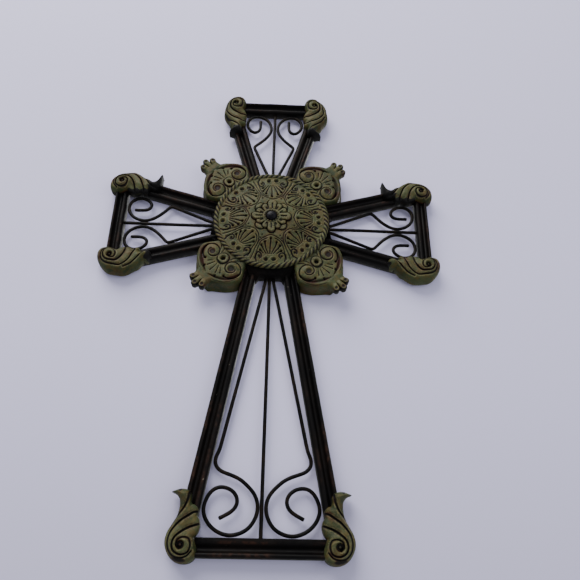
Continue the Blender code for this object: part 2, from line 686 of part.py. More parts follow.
def wire_object(name, points, collection, material):
    curve = bpy.data.curves.new(name, "CURVE")
    curve.dimensions = "3D"
    curve.bevel_depth = WIRE_RADIUS
    curve.bevel_resolution = WIRE_BEVEL_RESOLUTION
    curve.use_fill_caps = True
    spline = curve.splines.new("POLY")
    spline.points.add(len(points) - 1)
    for place, point in zip(spline.points, points):
        place.co = (point[0], point[1], WIRE_HEIGHT, 1.0)
    curve.materials.append(material)
    wire = bpy.data.objects.new(name, curve)
    collection.objects.link(wire)
    return wire


def make_wires(collection, upright, material):
    """One straight rod and two bent scrolls in each arm."""
    beside_rod = 2.0 * WIRE_RADIUS + CLEARANCE
    start = HUB_WALL - SOCKET_DEPTH + CLEARANCE
    for name, angle, kind in ARMS:
        reach, end_half, rail_width, bar_width = kind
        rod_end = reach - bar_width + SOCKET_DEPTH - CLEARANCE
        wires = [wire_object(name + "_rod", [(start, 0.0), (rod_end, 0.0)], collection, material)]
        shape = LONG_SCROLL_PATH if kind is LONG_ARM else SHORT_SCROLL_PATH
        path = scroll_path(shape, reach, end_half, rail_width, bar_width)
        for side, label in ((1.0, "_scroll_a"), (-1.0, "_scroll_b")):
            bent = [(start, side * beside_rod), (HUB_WALL + CLEARANCE, side * beside_rod)]
            bent += [(along, side * across) for along, across in path]
            wires.append(wire_object(name + label, bent, collection, material))
        for wire in wires:
            wire.parent = upright
            wire.rotation_euler = (0.0, 0.0, math.radians(angle))


# Holes that the wires are set in
def make_socket_cutters(collection, upright):
    beside = 2.0 * WIRE_RADIUS + CLEARANCE
    past = 1.0 * MM
    for name, angle, kind in ARMS:
        reach, bar_width = kind[0], kind[3]
        slot_width = 2.0 * (beside + WIRE_RADIUS + CLEARANCE)
        slot_height = 2.0 * (WIRE_RADIUS + CLEARANCE)
        depth = SOCKET_DEPTH + past
        bm = bmesh.new()
        size = Matrix.Diagonal((depth, slot_width, slot_height, 1.0))
        place = Matrix.Translation((HUB_WALL - SOCKET_DEPTH + depth / 2.0, 0.0, WIRE_HEIGHT))
        bmesh.ops.create_cube(bm, size=1.0, matrix=place @ size)
        add_cutter(name + "_hub_slot", finish_mesh(name + "_hub_slot", bm), angle, collection, upright)
        bm = bmesh.new()
        middle = reach - bar_width + (SOCKET_DEPTH - past) / 2.0
        radius = (WIRE_RADIUS + CLEARANCE) / math.cos(math.pi / SOCKET_SIDES)
        turn = Matrix.Rotation(math.pi / 2.0, 4, "Y")
        bmesh.ops.create_cone(
            bm, cap_ends=True, segments=SOCKET_SIDES, radius1=radius, radius2=radius, depth=depth,
            matrix=Matrix.Translation((middle, 0.0, WIRE_HEIGHT)) @ turn)
        add_cutter(name + "_bar_socket", finish_mesh(name + "_bar_socket", bm), angle, collection, upright)


def add_cutter(name, mesh, angle, collection, upright):
    cutter = add_object(name, mesh, collection, upright)
    cutter.rotation_euler = (0.0, 0.0, math.radians(angle))
    cutter.display_type = "WIRE"
    cutter.hide_render = True
    return cutter


def add_object(name, mesh, collection, upright):
    made = bpy.data.objects.new(name, mesh)
    collection.objects.link(made)
    made.parent = upright
    return made


def make_casting(part, forms, cutters, upright, frame_material, ornament_material):
    """The one casting: hub, four arm frames, eight corner scrolls, four palmettes and the rosette."""
    materials = [frame_material, ornament_material]
    casting = add_object("cast_cross", hub_mesh(), part, upright)
    for material in materials:
        casting.data.materials.append(material)
    short_leaf = (SHORT_LEAF_BOW, SHORT_EYE_INSET, SHORT_SCROLL_SCALE)
    long_leaf = (LONG_LEAF_BOW, LONG_EYE_INSET, LONG_SCROLL_SCALE)
    palmette = palmette_mesh()
    tip = tip_mesh()
    frames = [("wall_block_a", wall_block_mesh("wall_block_a", 0.0)),
              ("wall_block_b", wall_block_mesh("wall_block_b", 90.0))]
    carved = [("rosette", rosette_mesh())]
    for name, angle, kind in ARMS:
        reach, end_half, rail_width, bar_width = kind
        bow, eye_inset, scale = long_leaf if kind is LONG_ARM else short_leaf
        frame = arm_frame_mesh(name + "_frame", reach, end_half, rail_width, bar_width)
        frames.append((name + "_frame", placed_copy(frame, name + "_frame", arm_matrix(angle))))
        for side, label, leaf in ((1.0, "_scroll_left", 0), (-1.0, "_scroll_right", 1)):
            scroll = scroll_mesh(bow, LEAF_HORN[name][leaf], LEAF_FLARE[name][leaf])
            matrix = scroll_matrix(angle, reach, end_half, eye_inset, scale, side)
            carved.append((name + label, placed_copy(scroll, name + label, matrix)))
        crook = palmette_matrix(angle)
        carved.append((name + "_palmette", placed_copy(palmette, name + "_palmette", crook)))
        carved.append((name + "_tip", placed_copy(tip, name + "_tip", crook)))
    for index, group in enumerate((frames, carved)):
        for name, mesh in group:
            for material in materials:
                mesh.materials.append(material)
            mesh.polygons.foreach_set("material_index", [index] * len(mesh.polygons))
            form = add_object("form_" + name, mesh, forms, upright)
            form.display_type = "WIRE"
            form.hide_render = True
    join = casting.modifiers.new("join_forms", "BOOLEAN")
    join.operation = "UNION"
    join.operand_type = "COLLECTION"
    join.collection = forms
    join.solver = "EXACT"
    cut = casting.modifiers.new("cut_sockets", "BOOLEAN")
    cut.operation = "DIFFERENCE"
    cut.operand_type = "COLLECTION"
    cut.collection = cutters
    cut.solver = "EXACT"
    return casting


def make_bead(part, upright, material):
    """Round bead with a flat foot, set in the middle of the flower."""
    foot = FIELD_CROWN_HEIGHT + FLOWER_RISE - BEAD_SEAT_DEPTH + CLEARANCE
    rise = BEAD_TOP - foot
    rings = [(1.0, 0.0), (1.0, 0.28), (0.86, 0.66), (0.52, 0.92)]
    bm = bmesh.new()
    sides = BEAD_SIDES
    levels = []
    for share, lift in rings:
        level = [polar(BEAD_RADIUS * share, k * 360.0 / sides) for k in range(sides)]
        levels.append([bm.verts.new((p.x, p.y, foot + rise * lift)) for p in level])
    for low, high in zip(levels, levels[1:]):
        for k in range(sides):
            after = (k + 1) % sides
            bm.faces.new((low[k], low[after], high[after], high[k]))
    top = bm.verts.new((0.0, 0.0, BEAD_TOP))
    for k in range(sides):
        bm.faces.new((levels[-1][k], levels[-1][(k + 1) % sides], top))
    bm.faces.new(levels[0][::-1])
    mesh = finish_mesh("centre_bead", bm)
    mesh.materials.append(material)
    mesh.shade_smooth()
    return add_object("centre_bead", mesh, part, upright)


def main():
    clear_scene()
    part = new_collection("wall_cross")
    forms = new_collection("forms_of_the_casting")
    cutters = new_collection("socket_cutters")
    upright = bpy.data.objects.new("hung_upright", None)
    part.objects.link(upright)
    upright.rotation_euler = (math.pi / 2.0, 0.0, 0.0)
    frame_material = make_material("dark_bronze_frame", (0.022, 0.018, 0.016), 0.35, 0.42)
    ornament_material = make_material("verdigris_ornament", (0.150, 0.150, 0.075), 0.25, 0.55)
    wire_material = make_material("dark_wire", (0.030, 0.024, 0.019), 0.70, 0.40)
    bead_material = make_material("dark_bead", (0.010, 0.010, 0.014), 0.30, 0.12)
    make_casting(part, forms, cutters, upright, frame_material, ornament_material)
    make_socket_cutters(cutters, upright)
    make_wires(part, upright, wire_material)
    make_bead(part, upright, bead_material)
    bpy.context.view_layer.update()


main()
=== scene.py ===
"""Looks of the wall cross: fine carved relief, smooth bent wires and an aged finish on the CAD part.

Shapes are worked out in millimetres in a flat frame, with X to the right, Y up the long axis of the
cross and Z out of the wall. The last step of each piece turns it upright and into metres.
"""

import math

import bpy
import numpy as np
from mathutils import Matrix, Vector
from mathutils.geometry import delaunay_2d_cdt

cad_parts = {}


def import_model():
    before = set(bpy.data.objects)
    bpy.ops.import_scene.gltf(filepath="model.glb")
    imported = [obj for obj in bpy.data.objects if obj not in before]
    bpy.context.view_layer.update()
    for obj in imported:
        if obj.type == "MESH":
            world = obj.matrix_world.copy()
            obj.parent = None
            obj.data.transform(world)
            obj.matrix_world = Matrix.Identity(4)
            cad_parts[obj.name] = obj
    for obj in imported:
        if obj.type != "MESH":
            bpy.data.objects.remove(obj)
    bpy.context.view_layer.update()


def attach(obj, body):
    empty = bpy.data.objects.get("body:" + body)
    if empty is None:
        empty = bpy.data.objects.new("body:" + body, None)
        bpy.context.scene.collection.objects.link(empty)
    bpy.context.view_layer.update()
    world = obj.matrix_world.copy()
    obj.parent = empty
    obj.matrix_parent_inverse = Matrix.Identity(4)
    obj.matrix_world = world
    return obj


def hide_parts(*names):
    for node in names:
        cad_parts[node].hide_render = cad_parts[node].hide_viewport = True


# Overall frame, as in the CAD part
SHORT_REACH = 144.7
LONG_REACH = 275.8
SHORT_END_HALF = 51.4
LONG_END_HALF = 63.3
ROOT_HALF = 24.6
SHORT_RAIL_WIDTH = 13.2
SHORT_BAR_WIDTH = 11.2
LONG_RAIL_WIDTH = 12.4
LONG_BAR_WIDTH = 13.8
RAIL_SINK = 9.0
CORNER_CUT = 5.0
CORNER_EASE = 0.3
MOULDING = [
    (0.00, 0.0), (0.00, 3.4), (0.00, 6.4), (0.015, 8.0), (0.05, 9.3), (0.10, 10.2), (0.155, 10.5),
    (0.21, 10.4), (0.26, 9.9), (0.30, 8.7), (0.335, 7.5), (0.40, 6.7), (0.47, 6.4), (0.54, 6.5),
    (0.585, 7.2), (0.63, 8.1), (0.70, 8.7), (0.77, 8.9), (0.85, 8.7), (0.92, 8.2), (0.97, 7.3),
    (1.00, 6.0), (1.00, 3.0), (1.00, 0.0)]
RAIL_STEP = 4.0
WALL_HEIGHT = 12.6
WALL_CORNER = 3.4
RAIL_DIP = 6.5

# Rope round the rosette, and the hub below it
ROPE_RADIUS = 49.2
ROPE_HALF_WIDTH = 2.7
ROPE_EDGE = ROPE_RADIUS + ROPE_HALF_WIDTH
ROPE_MIDDLE = 15.1
ROPE_HALF_HEIGHT = 3.3
ROPE_STRANDS = 64
HUB_WALL = ROPE_RADIUS + 3.8
OVAL = 0.962
OVAL_LIFT = 1.2

# Wires
WIRE_RADIUS = 1.35
WIRE_COAT = 0.12
BEND_SOFTENING = 24
WIRE_HEIGHT = 3.9
CLEARANCE = 0.3
SOCKET_DEPTH = 3.0
WIRE_SIDES = 20

# Corner scrolls
SHORT_EYE_INSET = (6.0, 12.4)
LONG_EYE_INSET = (8.4, 7.5)
SHORT_SCROLL_SCALE = 0.93
LONG_SCROLL_SCALE = 1.0
SHORT_LEAF_BOW = 4.8
LONG_LEAF_BOW = 0.0
SHORT_EYE_SIZE = (1.6, 3.2)
LONG_EYE_SIZE = (2.0, 3.6)
# How dark the painted shadow below each volute is
SHORT_VOLUTE_SHADOW = 0.35
LONG_VOLUTE_SHADOW = 0.75
LEAF_BASE = 2.0
LEAF_RIM = 6.0
LOBE_RISE = 3.6
HORN_RISE = 3.4
LEAF_CROWN = 14.2
VOLUTE_RISE = 2.2
LEAF_ROUNDING = 4.8
# For the leaves to the left and to the right of each arm: how far the foot swells, how much farther
# the horn stands out, where the black end begins, and how black the window side is
LEAF_FLARE = {"top": (0.0, 2.4), "left": (3.4, 0.6), "bottom": (0.0, 0.0), "right": (0.6, 3.4)}
LEAF_HORN = {"top": (-0.6, 1.0), "left": (-5.0, 6.2), "bottom": (0.5, 0.5), "right": (6.4, -5.0)}
LEAF_BLACK_FROM = {"top": (31.0, 31.0), "left": (32.6, 26.5), "bottom": (37.4, 37.4), "right": (26.5, 36.6)}
LEAF_BLACK_SIDE = {"top": (0.3, 0.3), "left": (0.0, 1.0), "bottom": (0.0, 0.0), "right": (1.0, 0.0)}
RIB_DEPTH = 3.0
RIB_HALF_WIDTH = 2.4
SCROLL_SPACING = 0.32

# Palmettes
PALMETTE_BASE = 0.5
PALMETTE_RIM = 13.4
PALMETTE_CROWN = 16.0
PALMETTE_SPACING = 0.32
CLAWS = [((32.0, 4.4), (35.2, 5.7)), ((32.0, 0.0), (38.2, 0.0)), ((32.0, -4.4), (35.2, -5.7))]
CLAW_RADIUS = 2.8
TIP_BASE = 8.0
TIP_RIM = 13.8
TIP_RISE = 3.2

# Rosette
ROSETTE_BASE = 11.0
FIELD_EDGE_HEIGHT = 16.2
FIELD_CROWN_HEIGHT = 22.0
SECTORS = 8
FAN_FOOT = 37.4
FLOWER_RISE = 2.2
PETALS = [(45.0, 17.8, 4.4, -0.9), (28.0, 14.6, 2.9, -0.3), (0.0, 17.4, 3.7, 0.1)]
BEAD_RADIUS = 4.7
BEAD_FOOT = 23.3
BEAD_TOP = 27.2

SHORT_ARM = (SHORT_REACH, SHORT_END_HALF, SHORT_RAIL_WIDTH, SHORT_BAR_WIDTH)
LONG_ARM = (LONG_REACH, LONG_END_HALF, LONG_RAIL_WIDTH, LONG_BAR_WIDTH)
ARMS = [("top", 90.0, SHORT_ARM), ("left", 180.0, SHORT_ARM), ("bottom", 270.0, LONG_ARM),
        ("right", 0.0, SHORT_ARM)]

# Camera, fitted to the photograph: degrees, and metres in the upright frame
CAMERA_TURN = -3.8175
CAMERA_TILT = 63.855
CAMERA_ROLL = 5.1975
CAMERA_PLACE = (0.0032575, -0.45669, -0.28452)

# Light: each lamp's name, place, target, size, power and colour
AIR_COLOUR = (0.80, 0.81, 0.86, 1.0)
AIR_STRENGTH = 0.61
LAMPS = [("window", (-0.55, -0.95, 1.25), (0.0, 0.0, 0.1), 1.5, 38.5, (1.0, 0.985, 0.96)),
         ("fill", (1.4, -1.5, -0.3), (0.0, 0.0, -0.05), 1.6, 10.0, (0.93, 0.96, 1.0)),
         ("behind", (0.6, 1.8, 0.8), (0.0, 0.0, 0.0), 1.6, 14.0, (1.0, 1.0, 1.0))]

# From the flat frame in millimetres to the upright one in metres
UPRIGHT = np.array([[0.001, 0.0, 0.0], [0.0, 0.0, -0.001], [0.0, 0.001, 0.0]])


# Plane geometry with numpy
def smooth(value, start, end):
    share = np.clip((np.asarray(value, float) - start) / (end - start), 0.0, 1.0)
    return share * share * (3.0 - 2.0 * share)


def polar(radius, degrees):
    angle = np.radians(degrees)
    return np.stack([radius * np.cos(angle), radius * np.sin(angle)], -1)


def spline(points, steps=6, closed=False):
    """Catmull-Rom curve through the points."""
    points = np.asarray(points, float)
    count = len(points)
    spans = count if closed else count - 1
    curve = []
    for span in range(spans):
        if closed:
            near = [points[(span + k) % count] for k in (-1, 0, 1, 2)]
        else:
            near = [points[min(max(span + k, 0), count - 1)] for k in (-1, 0, 1, 2)]
        before, start, end, after = near
        for step in range(steps):
            u = step / steps
            curve.append(0.5 * (
                2.0 * start + (end - before) * u
                + (2.0 * before - 5.0 * start + 4.0 * end - after) * u * u
                + (3.0 * start - before - 3.0 * end + after) * u ** 3))
    if not closed:
        curve.append(points[-1])
    return np.array(curve)


def even_steps(line, spacing, closed=False):
    """The same line, cut into even steps of about this spacing."""
    line = np.asarray(line, float)
    if closed:
        line = np.vstack([line, line[:1]])
    runs = np.concatenate([[0.0], np.cumsum(np.linalg.norm(np.diff(line, axis=0), axis=1))])
    count = max(int(round(runs[-1] / spacing)), 2)
    at = np.linspace(0.0, runs[-1], count + 1)
    if closed:
        at = at[:-1]
    return np.stack([np.interp(at, runs, line[:, k]) for k in range(line.shape[1])], -1)


def line_distance(points, line):
    """Distance of each point to a polyline, and the share of the line passed at its nearest spot."""
    nearest = np.full(len(points), np.inf)
    passed = np.zeros(len(points))
    steps = np.diff(line, axis=0)
    lengths = np.linalg.norm(steps, axis=1)
    before = np.concatenate([[0.0], np.cumsum(lengths)])
    for start, step, length, run in zip(line, steps, lengths, before):
        if length == 0.0:
            continue
        share = np.clip((points - start) @ step / length ** 2, 0.0, 1.0)
        gap = np.linalg.norm(points - start - share[:, None] * step, axis=1)
        closer = gap < nearest
        nearest[closer] = gap[closer]
        passed[closer] = (run + share[closer] * length) / before[-1]
    return nearest, passed


def inside(points, outline):
    """True for each point within a closed outline."""
    within = np.zeros(len(points), bool)
    x, y = points[:, 0], points[:, 1]
    for (x0, y0), (x1, y1) in zip(outline, np.roll(outline, -1, axis=0)):
        if y0 == y1:
            continue
        crosses = (y0 > y) != (y1 > y)
        within ^= crosses & (x < x0 + (y - y0) * (x1 - x0) / (y1 - y0))
    return within


def wander(points, reach, amount, seed):
    """Moves points a little, in long soft waves, as a hand with a gouge does."""
    x, y = points[:, 0] / reach, points[:, 1] / reach
    dx = np.sin(1.7 * x + 2.3 * y + seed) + np.sin(-2.9 * x + 1.1 * y + 2.1 * seed)
    dy = np.sin(2.1 * x - 1.6 * y + 1.7 * seed) + np.sin(1.3 * x + 2.7 * y + 0.6 * seed)
    return points + 0.5 * amount * np.stack([dx, dy], -1)


def pillow(distance, half_width):
    """Section of a rounded rib: 0 in the crease beside it, 1 on its top."""
    share = np.clip(distance / half_width, 0.0, 1.0)
    return np.sqrt(1.0 - (1.0 - share) ** 2)


def carve(points, lines, half_width, wash_and_shade_width, narrowing=0.0):
    """Cuts along lines: the depth share, 1 in the middle, and the dark antiquing that lies in them, which
    also paints the shade in the cut.

    wash_and_shade_width is half the width of that dark band at the start of a line. It narrows towards the
    other end.
    """
    depth, ink = np.zeros(len(points)), np.zeros(len(points))
    for line in lines:
        gap, passed = line_distance(points, line)
        width = wash_and_shade_width * (1.0 - narrowing * passed)
        depth = np.maximum(depth, (1.0 - pillow(gap, half_width)) * (1.0 - 0.5 * narrowing * passed))
        ink = np.maximum(ink, 1.0 - smooth(gap, 0.30 * width, width))
    return depth, ink


def pits(points, centres, radius):
    depth = np.zeros(len(points))
    for centre in centres:
        gap = np.linalg.norm(points - np.asarray(centre, float), axis=1)
        depth = np.maximum(depth, 1.0 - smooth(gap, 0.25 * radius, radius))
    return depth


def oval(corners):
    """The casting's round middle is a little lower than it is wide."""
    from_middle = np.linalg.norm(corners[:, :2], axis=1) / ROPE_EDGE
    lowered = corners[:, 1] * OVAL + OVAL_LIFT * from_middle ** 2
    return np.column_stack([corners[:, 0], lowered, corners[:, 2]])


def lit_edge(depth):
    """Painted highlight along the edge of a cut, from the cut's depth share."""
    return smooth(depth, 0.01, 0.05) * (1.0 - smooth(depth, 0.14, 0.30))


# Meshes
def build(name, corners, faces, material, masks, replaces):
    """An object from flat-frame corners in millimetres, with its paint masks and its CAD node."""
    mesh = bpy.data.meshes.new(name)
    mesh.from_pydata(np.asarray(corners) @ UPRIGHT.T, [], faces)
    mesh.update()
    for mask, values in masks.items():
        attribute = mesh.attributes.new(mask, "FLOAT", "POINT")
        attribute.data.foreach_set("value", np.clip(values, 0.0, 1.0).astype(np.float32))
    mesh.materials.append(material)
    mesh.shade_smooth()
    made = bpy.data.objects.new(name, mesh)
    bpy.context.scene.collection.objects.link(made)
    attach(made, "root")
    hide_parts(replaces)
    return made


def relief(outline, spacing, surface, base, foot_inset, wall_masks):
    """Corners, faces and masks of a carved plate: fine grid on top, walls with a rounded foot, flat back.

    surface(points) gives the heights and a dict of masks.
    """
    outline = even_steps(outline, spacing * 1.15, closed=True)
    if np.sum(outline[:, 0] * np.roll(outline[:, 1], -1) - outline[:, 1] * np.roll(outline[:, 0], -1)) < 0:
        outline = outline[::-1]
    low, high = outline.min(0), outline.max(0)
    rows = np.arange(low[1], high[1], spacing * 0.87)
    grid = []
    for k, y in enumerate(rows):
        xs = np.arange(low[0] + (k % 2) * spacing / 2.0, high[0], spacing)
        grid.append(np.stack([xs, np.full(len(xs), y)], -1))
    grid = np.vstack(grid)
    grid = grid[inside(grid, outline)]
    edge = np.vstack([outline, outline[:1]])
    grid = grid[line_distance(grid, edge)[0] > 0.55 * spacing]
    count = len(outline)
    flat = [Vector(p) for p in np.vstack([outline, grid])]
    ring = [(k, (k + 1) % count) for k in range(count)]
    points, _, triangles, _, _, _ = delaunay_2d_cdt(flat, ring, [list(range(count))], 1, 1e-6)
    points = np.array([(p.x, p.y) for p in points])
    heights, masks = surface(points)
    corners = [np.column_stack([points, heights])]
    faces = [tuple(t) for t in triangles]
    tangent = np.roll(outline, -1, axis=0) - np.roll(outline, 1, axis=0)
    outward = np.stack([tangent[:, 1], -tangent[:, 0]], -1) / np.linalg.norm(tangent, axis=1)[:, None]
    top = heights[:count]
    above = list(range(count))
    levels = [(0.35, 0.0), (0.75, 0.1), (0.92, 0.45), (1.0, 1.0)]
    for share, inset in levels:
        first = sum(len(c) for c in corners)
        level = np.column_stack([outline - outward * foot_inset * inset, top + (base - top) * share])
        corners.append(level)
        below = list(range(first, first + count))
        for k in range(count):
            after = (k + 1) % count
            faces.append((above[k], below[k], below[after], above[after]))
        above = below
    faces.append(tuple(above[::-1]))
    extra = count * len(levels)
    masks = {name: np.concatenate([values, np.full(extra, wall_masks.get(name, 0.0))])
             for name, values in masks.items()}
    return np.vstack(corners), faces, masks


def bands(levels, count):
    """Faces between closed rings of corners that follow one another."""
    faces = []
    for k in range(levels - 1):
        for j in range(count):
            after = (j + 1) % count
            faces.append((k * count + j, k * count + after, (k + 1) * count + after, (k + 1) * count + j))
    return faces


def placed(corners, faces, matrix):
    """Corners moved by a flat-frame matrix, and the faces turned right side out if it mirrors."""
    matrix = np.asarray(matrix)
    moved = corners @ matrix[:3, :3].T + matrix[:3, 3]
    if np.linalg.det(matrix[:3, :3]) < 0.0:
        faces = [face[::-1] for face in faces]
    return moved, faces


def arm_matrix(angle):
    return np.array(Matrix.Rotation(math.radians(angle), 4, "Z"))


def arm_slope(reach, end_half):
    return (end_half - ROOT_HALF) / (reach - HUB_WALL)


# Materials
def shader_tree(name):
    material = bpy.data.materials.new(name)
    material.use_nodes = True
    tree = material.node_tree
    return material, tree, tree.nodes["Principled BSDF"]


def add_node(tree, kind, settings=None, **values):
    made = tree.nodes.new(kind)
    for key, value in (settings or {}).items():
        setattr(made, key, value)
    for key, value in values.items():
        socket = made.inputs[key.replace("_", " ")]
        if isinstance(value, bpy.types.NodeSocket):
            tree.links.new(value, socket)
        else:
            socket.default_value = value
    return made


def mask_of(tree, name):
    return add_node(tree, "ShaderNodeAttribute", {"attribute_name": name}).outputs["Fac"]


def noise(tree, scale, detail=4.0, roughness=0.6, offset=(0.0, 0.0, 0.0)):
    place = add_node(tree, "ShaderNodeTexCoord").outputs["Object"]
    moved = add_node(tree, "ShaderNodeMapping", Vector=place, Location=offset).outputs["Vector"]
    return add_node(tree, "ShaderNodeTexNoise", Vector=moved, Scale=scale, Detail=detail,
                    Roughness=roughness).outputs["Fac"]


def stretch(tree, value, start, end, low=0.0, high=1.0):
    made = add_node(tree, "ShaderNodeMapRange", {"interpolation_type": "SMOOTHSTEP"}, Value=value)
    for name, number in (("From Min", start), ("From Max", end), ("To Min", low), ("To Max", high)):
        made.inputs[name].default_value = number
    return made.outputs["Result"]


def maths(tree, operation, first, second):
    made = add_node(tree, "ShaderNodeMath", {"operation": operation})
    for socket, value in zip(made.inputs, (first, second)):
        if isinstance(value, bpy.types.NodeSocket):
            tree.links.new(value, socket)
        else:
            socket.default_value = value
    return made.outputs["Value"]


def blend(tree, share, first, second):
    """A colour between two others, which are sockets or (red, green, blue)."""
    made = add_node(tree, "ShaderNodeMix", {"data_type": "RGBA"})
    for socket, value in zip((made.inputs[0], made.inputs[6], made.inputs[7]), (share, first, second)):
        if isinstance(value, bpy.types.NodeSocket):
            tree.links.new(value, socket)
        else:
            socket.default_value = (*value, 1.0) if isinstance(value, tuple) else value
    return made.outputs[2]


def bump(tree, shader, height, strength, distance):
    made = add_node(tree, "ShaderNodeBump", Height=height, Strength=strength, Distance=distance)
    tree.links.new(made.outputs["Normal"], shader.inputs["Normal"])


def verdigris_material():
    """Olive paint rubbed tan on the ridges, also as painted highlight there, with brown-black antiquing in
    the cuts that also paints the shade in cuts, hollows and under overhangs.
    """
    material, tree, shader = shader_tree("verdigris_wear_and_painted_light")
    wash_and_shade, wear_and_highlight, black = (mask_of(tree, name) for name in ("wash_and_shade", "wear_and_highlight", "black"))
    broad = noise(tree, 48.0, 3.0)
    warm = noise(tree, 85.0, 3.0, 0.6, (0.17, 0.33, 0.08))
    patch = noise(tree, 210.0, 4.0, 0.6, (0.31, 0.12, 0.07))
    fine = noise(tree, 800.0, 4.0, 0.65, (0.05, 0.41, 0.22))
    colour = blend(tree, stretch(tree, broad, 0.36, 0.64), (0.022, 0.031, 0.0115), (0.057, 0.070, 0.0280))
    colour = blend(tree, stretch(tree, patch, 0.46, 0.64, 0.0, 0.70), colour, (0.082, 0.059, 0.0140))
    colour = blend(tree, stretch(tree, warm, 0.52, 0.66, 0.0, 0.45), colour, (0.078, 0.041, 0.0120))
    # Tan rubbed onto the crests: wear, and also painted highlight where the relief stands up.
    rubbed_and_lit = maths(tree, "MULTIPLY", stretch(tree, wear_and_highlight, 0.40, 1.0), stretch(tree, fine, 0.40, 0.62))
    colour = blend(tree, maths(tree, "MULTIPLY", rubbed_and_lit, 0.75), colour, (0.150, 0.132, 0.062))
    rusty = maths(tree, "MULTIPLY", stretch(tree, wash_and_shade, 0.05, 0.5), stretch(tree, warm, 0.40, 0.60))
    colour = blend(tree, rusty, colour, (0.060, 0.018, 0.010))
    # Near black in the cuts, hollows and under overhangs: dark antiquing, and also painted shade.
    colour = blend(tree, stretch(tree, wash_and_shade, 0.25, 0.80), colour, (0.0035, 0.0026, 0.0022))
    colour = blend(tree, stretch(tree, fine, 0.58, 0.68, 0.0, 0.55), colour, (0.012, 0.010, 0.005))
    edge = maths(tree, "ADD", black, maths(tree, "MULTIPLY", maths(tree, "SUBTRACT", patch, 0.5), 0.7))
    colour = blend(tree, stretch(tree, edge, 0.38, 0.62), colour, (0.0045, 0.0040, 0.0042))
    tree.links.new(colour, shader.inputs["Base Color"])
    tree.links.new(stretch(tree, fine, 0.3, 0.7, 0.42, 0.68), shader.inputs["Roughness"])
    shader.inputs["Specular IOR Level"].default_value = 0.18
    grain = maths(tree, "ADD", fine, maths(tree, "MULTIPLY", patch, 0.8))
    bump(tree, shader, grain, 0.45, 0.0005)
    return material


def frame_material():
    """Near-black paint, rubbed to brown on the beads of the moulding, which also stands as painted
    highlight on their crests, with a few pale chipped spots that also stand as painted glints.
    """
    material, tree, shader = shader_tree("dark_bronze_paint")
    wear_and_highlight, rough = mask_of(tree, "wear_and_highlight"), mask_of(tree, "rough")
    broad = noise(tree, 30.0, 3.0)
    patch = noise(tree, 230.0, 5.0, 0.62, (0.11, 0.35, 0.02))
    fine = noise(tree, 1300.0, 3.0, 0.6, (0.25, 0.05, 0.13))
    share = stretch(tree, broad, 0.35, 0.65)
    colour = blend(tree, share, (0.0022, 0.0019, 0.0021), (0.0052, 0.0035, 0.0030))
    # Brown on the tops of the beads: wear, and also painted highlight on the crests.
    brown = maths(tree, "MULTIPLY", stretch(tree, broad, 0.42, 0.62), stretch(tree, patch, 0.42, 0.62))
    rubbed_and_lit = maths(tree, "MULTIPLY", stretch(tree, wear_and_highlight, 0.40, 1.0), brown)
    colour = blend(tree, rubbed_and_lit, colour, (0.034, 0.0155, 0.0100))
    # Pale chipped spots, which also stand in as painted glints.
    chips_and_glints = maths(tree, "MULTIPLY", stretch(tree, patch, 0.66, 0.74), stretch(tree, fine, 0.52, 0.60))
    colour = blend(tree, chips_and_glints, colour, (0.150, 0.130, 0.105))
    tree.links.new(colour, shader.inputs["Base Color"])
    dull = stretch(tree, patch, 0.3, 0.7, 0.33, 0.55)
    dull = maths(tree, "ADD", dull, maths(tree, "MULTIPLY", rough, 0.4))
    tree.links.new(dull, shader.inputs["Roughness"])
    shader.inputs["Specular IOR Level"].default_value = 0.10
    grit = maths(tree, "MULTIPLY", maths(tree, "ADD", 0.25, maths(tree, "MULTIPLY", rough, 2.2)), fine)
    bump(tree, shader, maths(tree, "ADD", grit, maths(tree, "MULTIPLY", patch, 0.9)), 0.4, 0.0005)
    return material


def wire_material():
    """Painted steel wire: satin, with faint draw marks and brown where it is handled."""
    material, tree, shader = shader_tree("dark_wire_paint")
    broad = noise(tree, 120.0, 3.0)
    fine = noise(tree, 1100.0, 3.0, 0.6, (0.2, 0.1, 0.3))
    share = stretch(tree, broad, 0.44, 0.66)
    colour = blend(tree, share, (0.0026, 0.0023, 0.0025), (0.0105, 0.0066, 0.0044))
    tree.links.new(colour, shader.inputs["Base Color"])
    tree.links.new(stretch(tree, fine, 0.3, 0.7, 0.30, 0.48), shader.inputs["Roughness"])
    shader.inputs["Specular IOR Level"].default_value = 0.09
    bump(tree, shader, fine, 0.25, 0.0002)
    return material


def bead_material():
    """Dark glossy bead, slightly dimpled."""
    material, tree, shader = shader_tree("dark_glossy_bead")
    patch = noise(tree, 420.0, 2.0)
    colour = blend(tree, stretch(tree, patch, 0.4, 0.7), (0.0024, 0.0024, 0.0038), (0.009, 0.008, 0.012))
    tree.links.new(colour, shader.inputs["Base Color"])
    tree.links.new(stretch(tree, patch, 0.3, 0.7, 0.28, 0.46), shader.inputs["Roughness"])
    shader.inputs["Specular IOR Level"].default_value = 0.12
    bump(tree, shader, patch, 0.5, 0.0008)
    return material


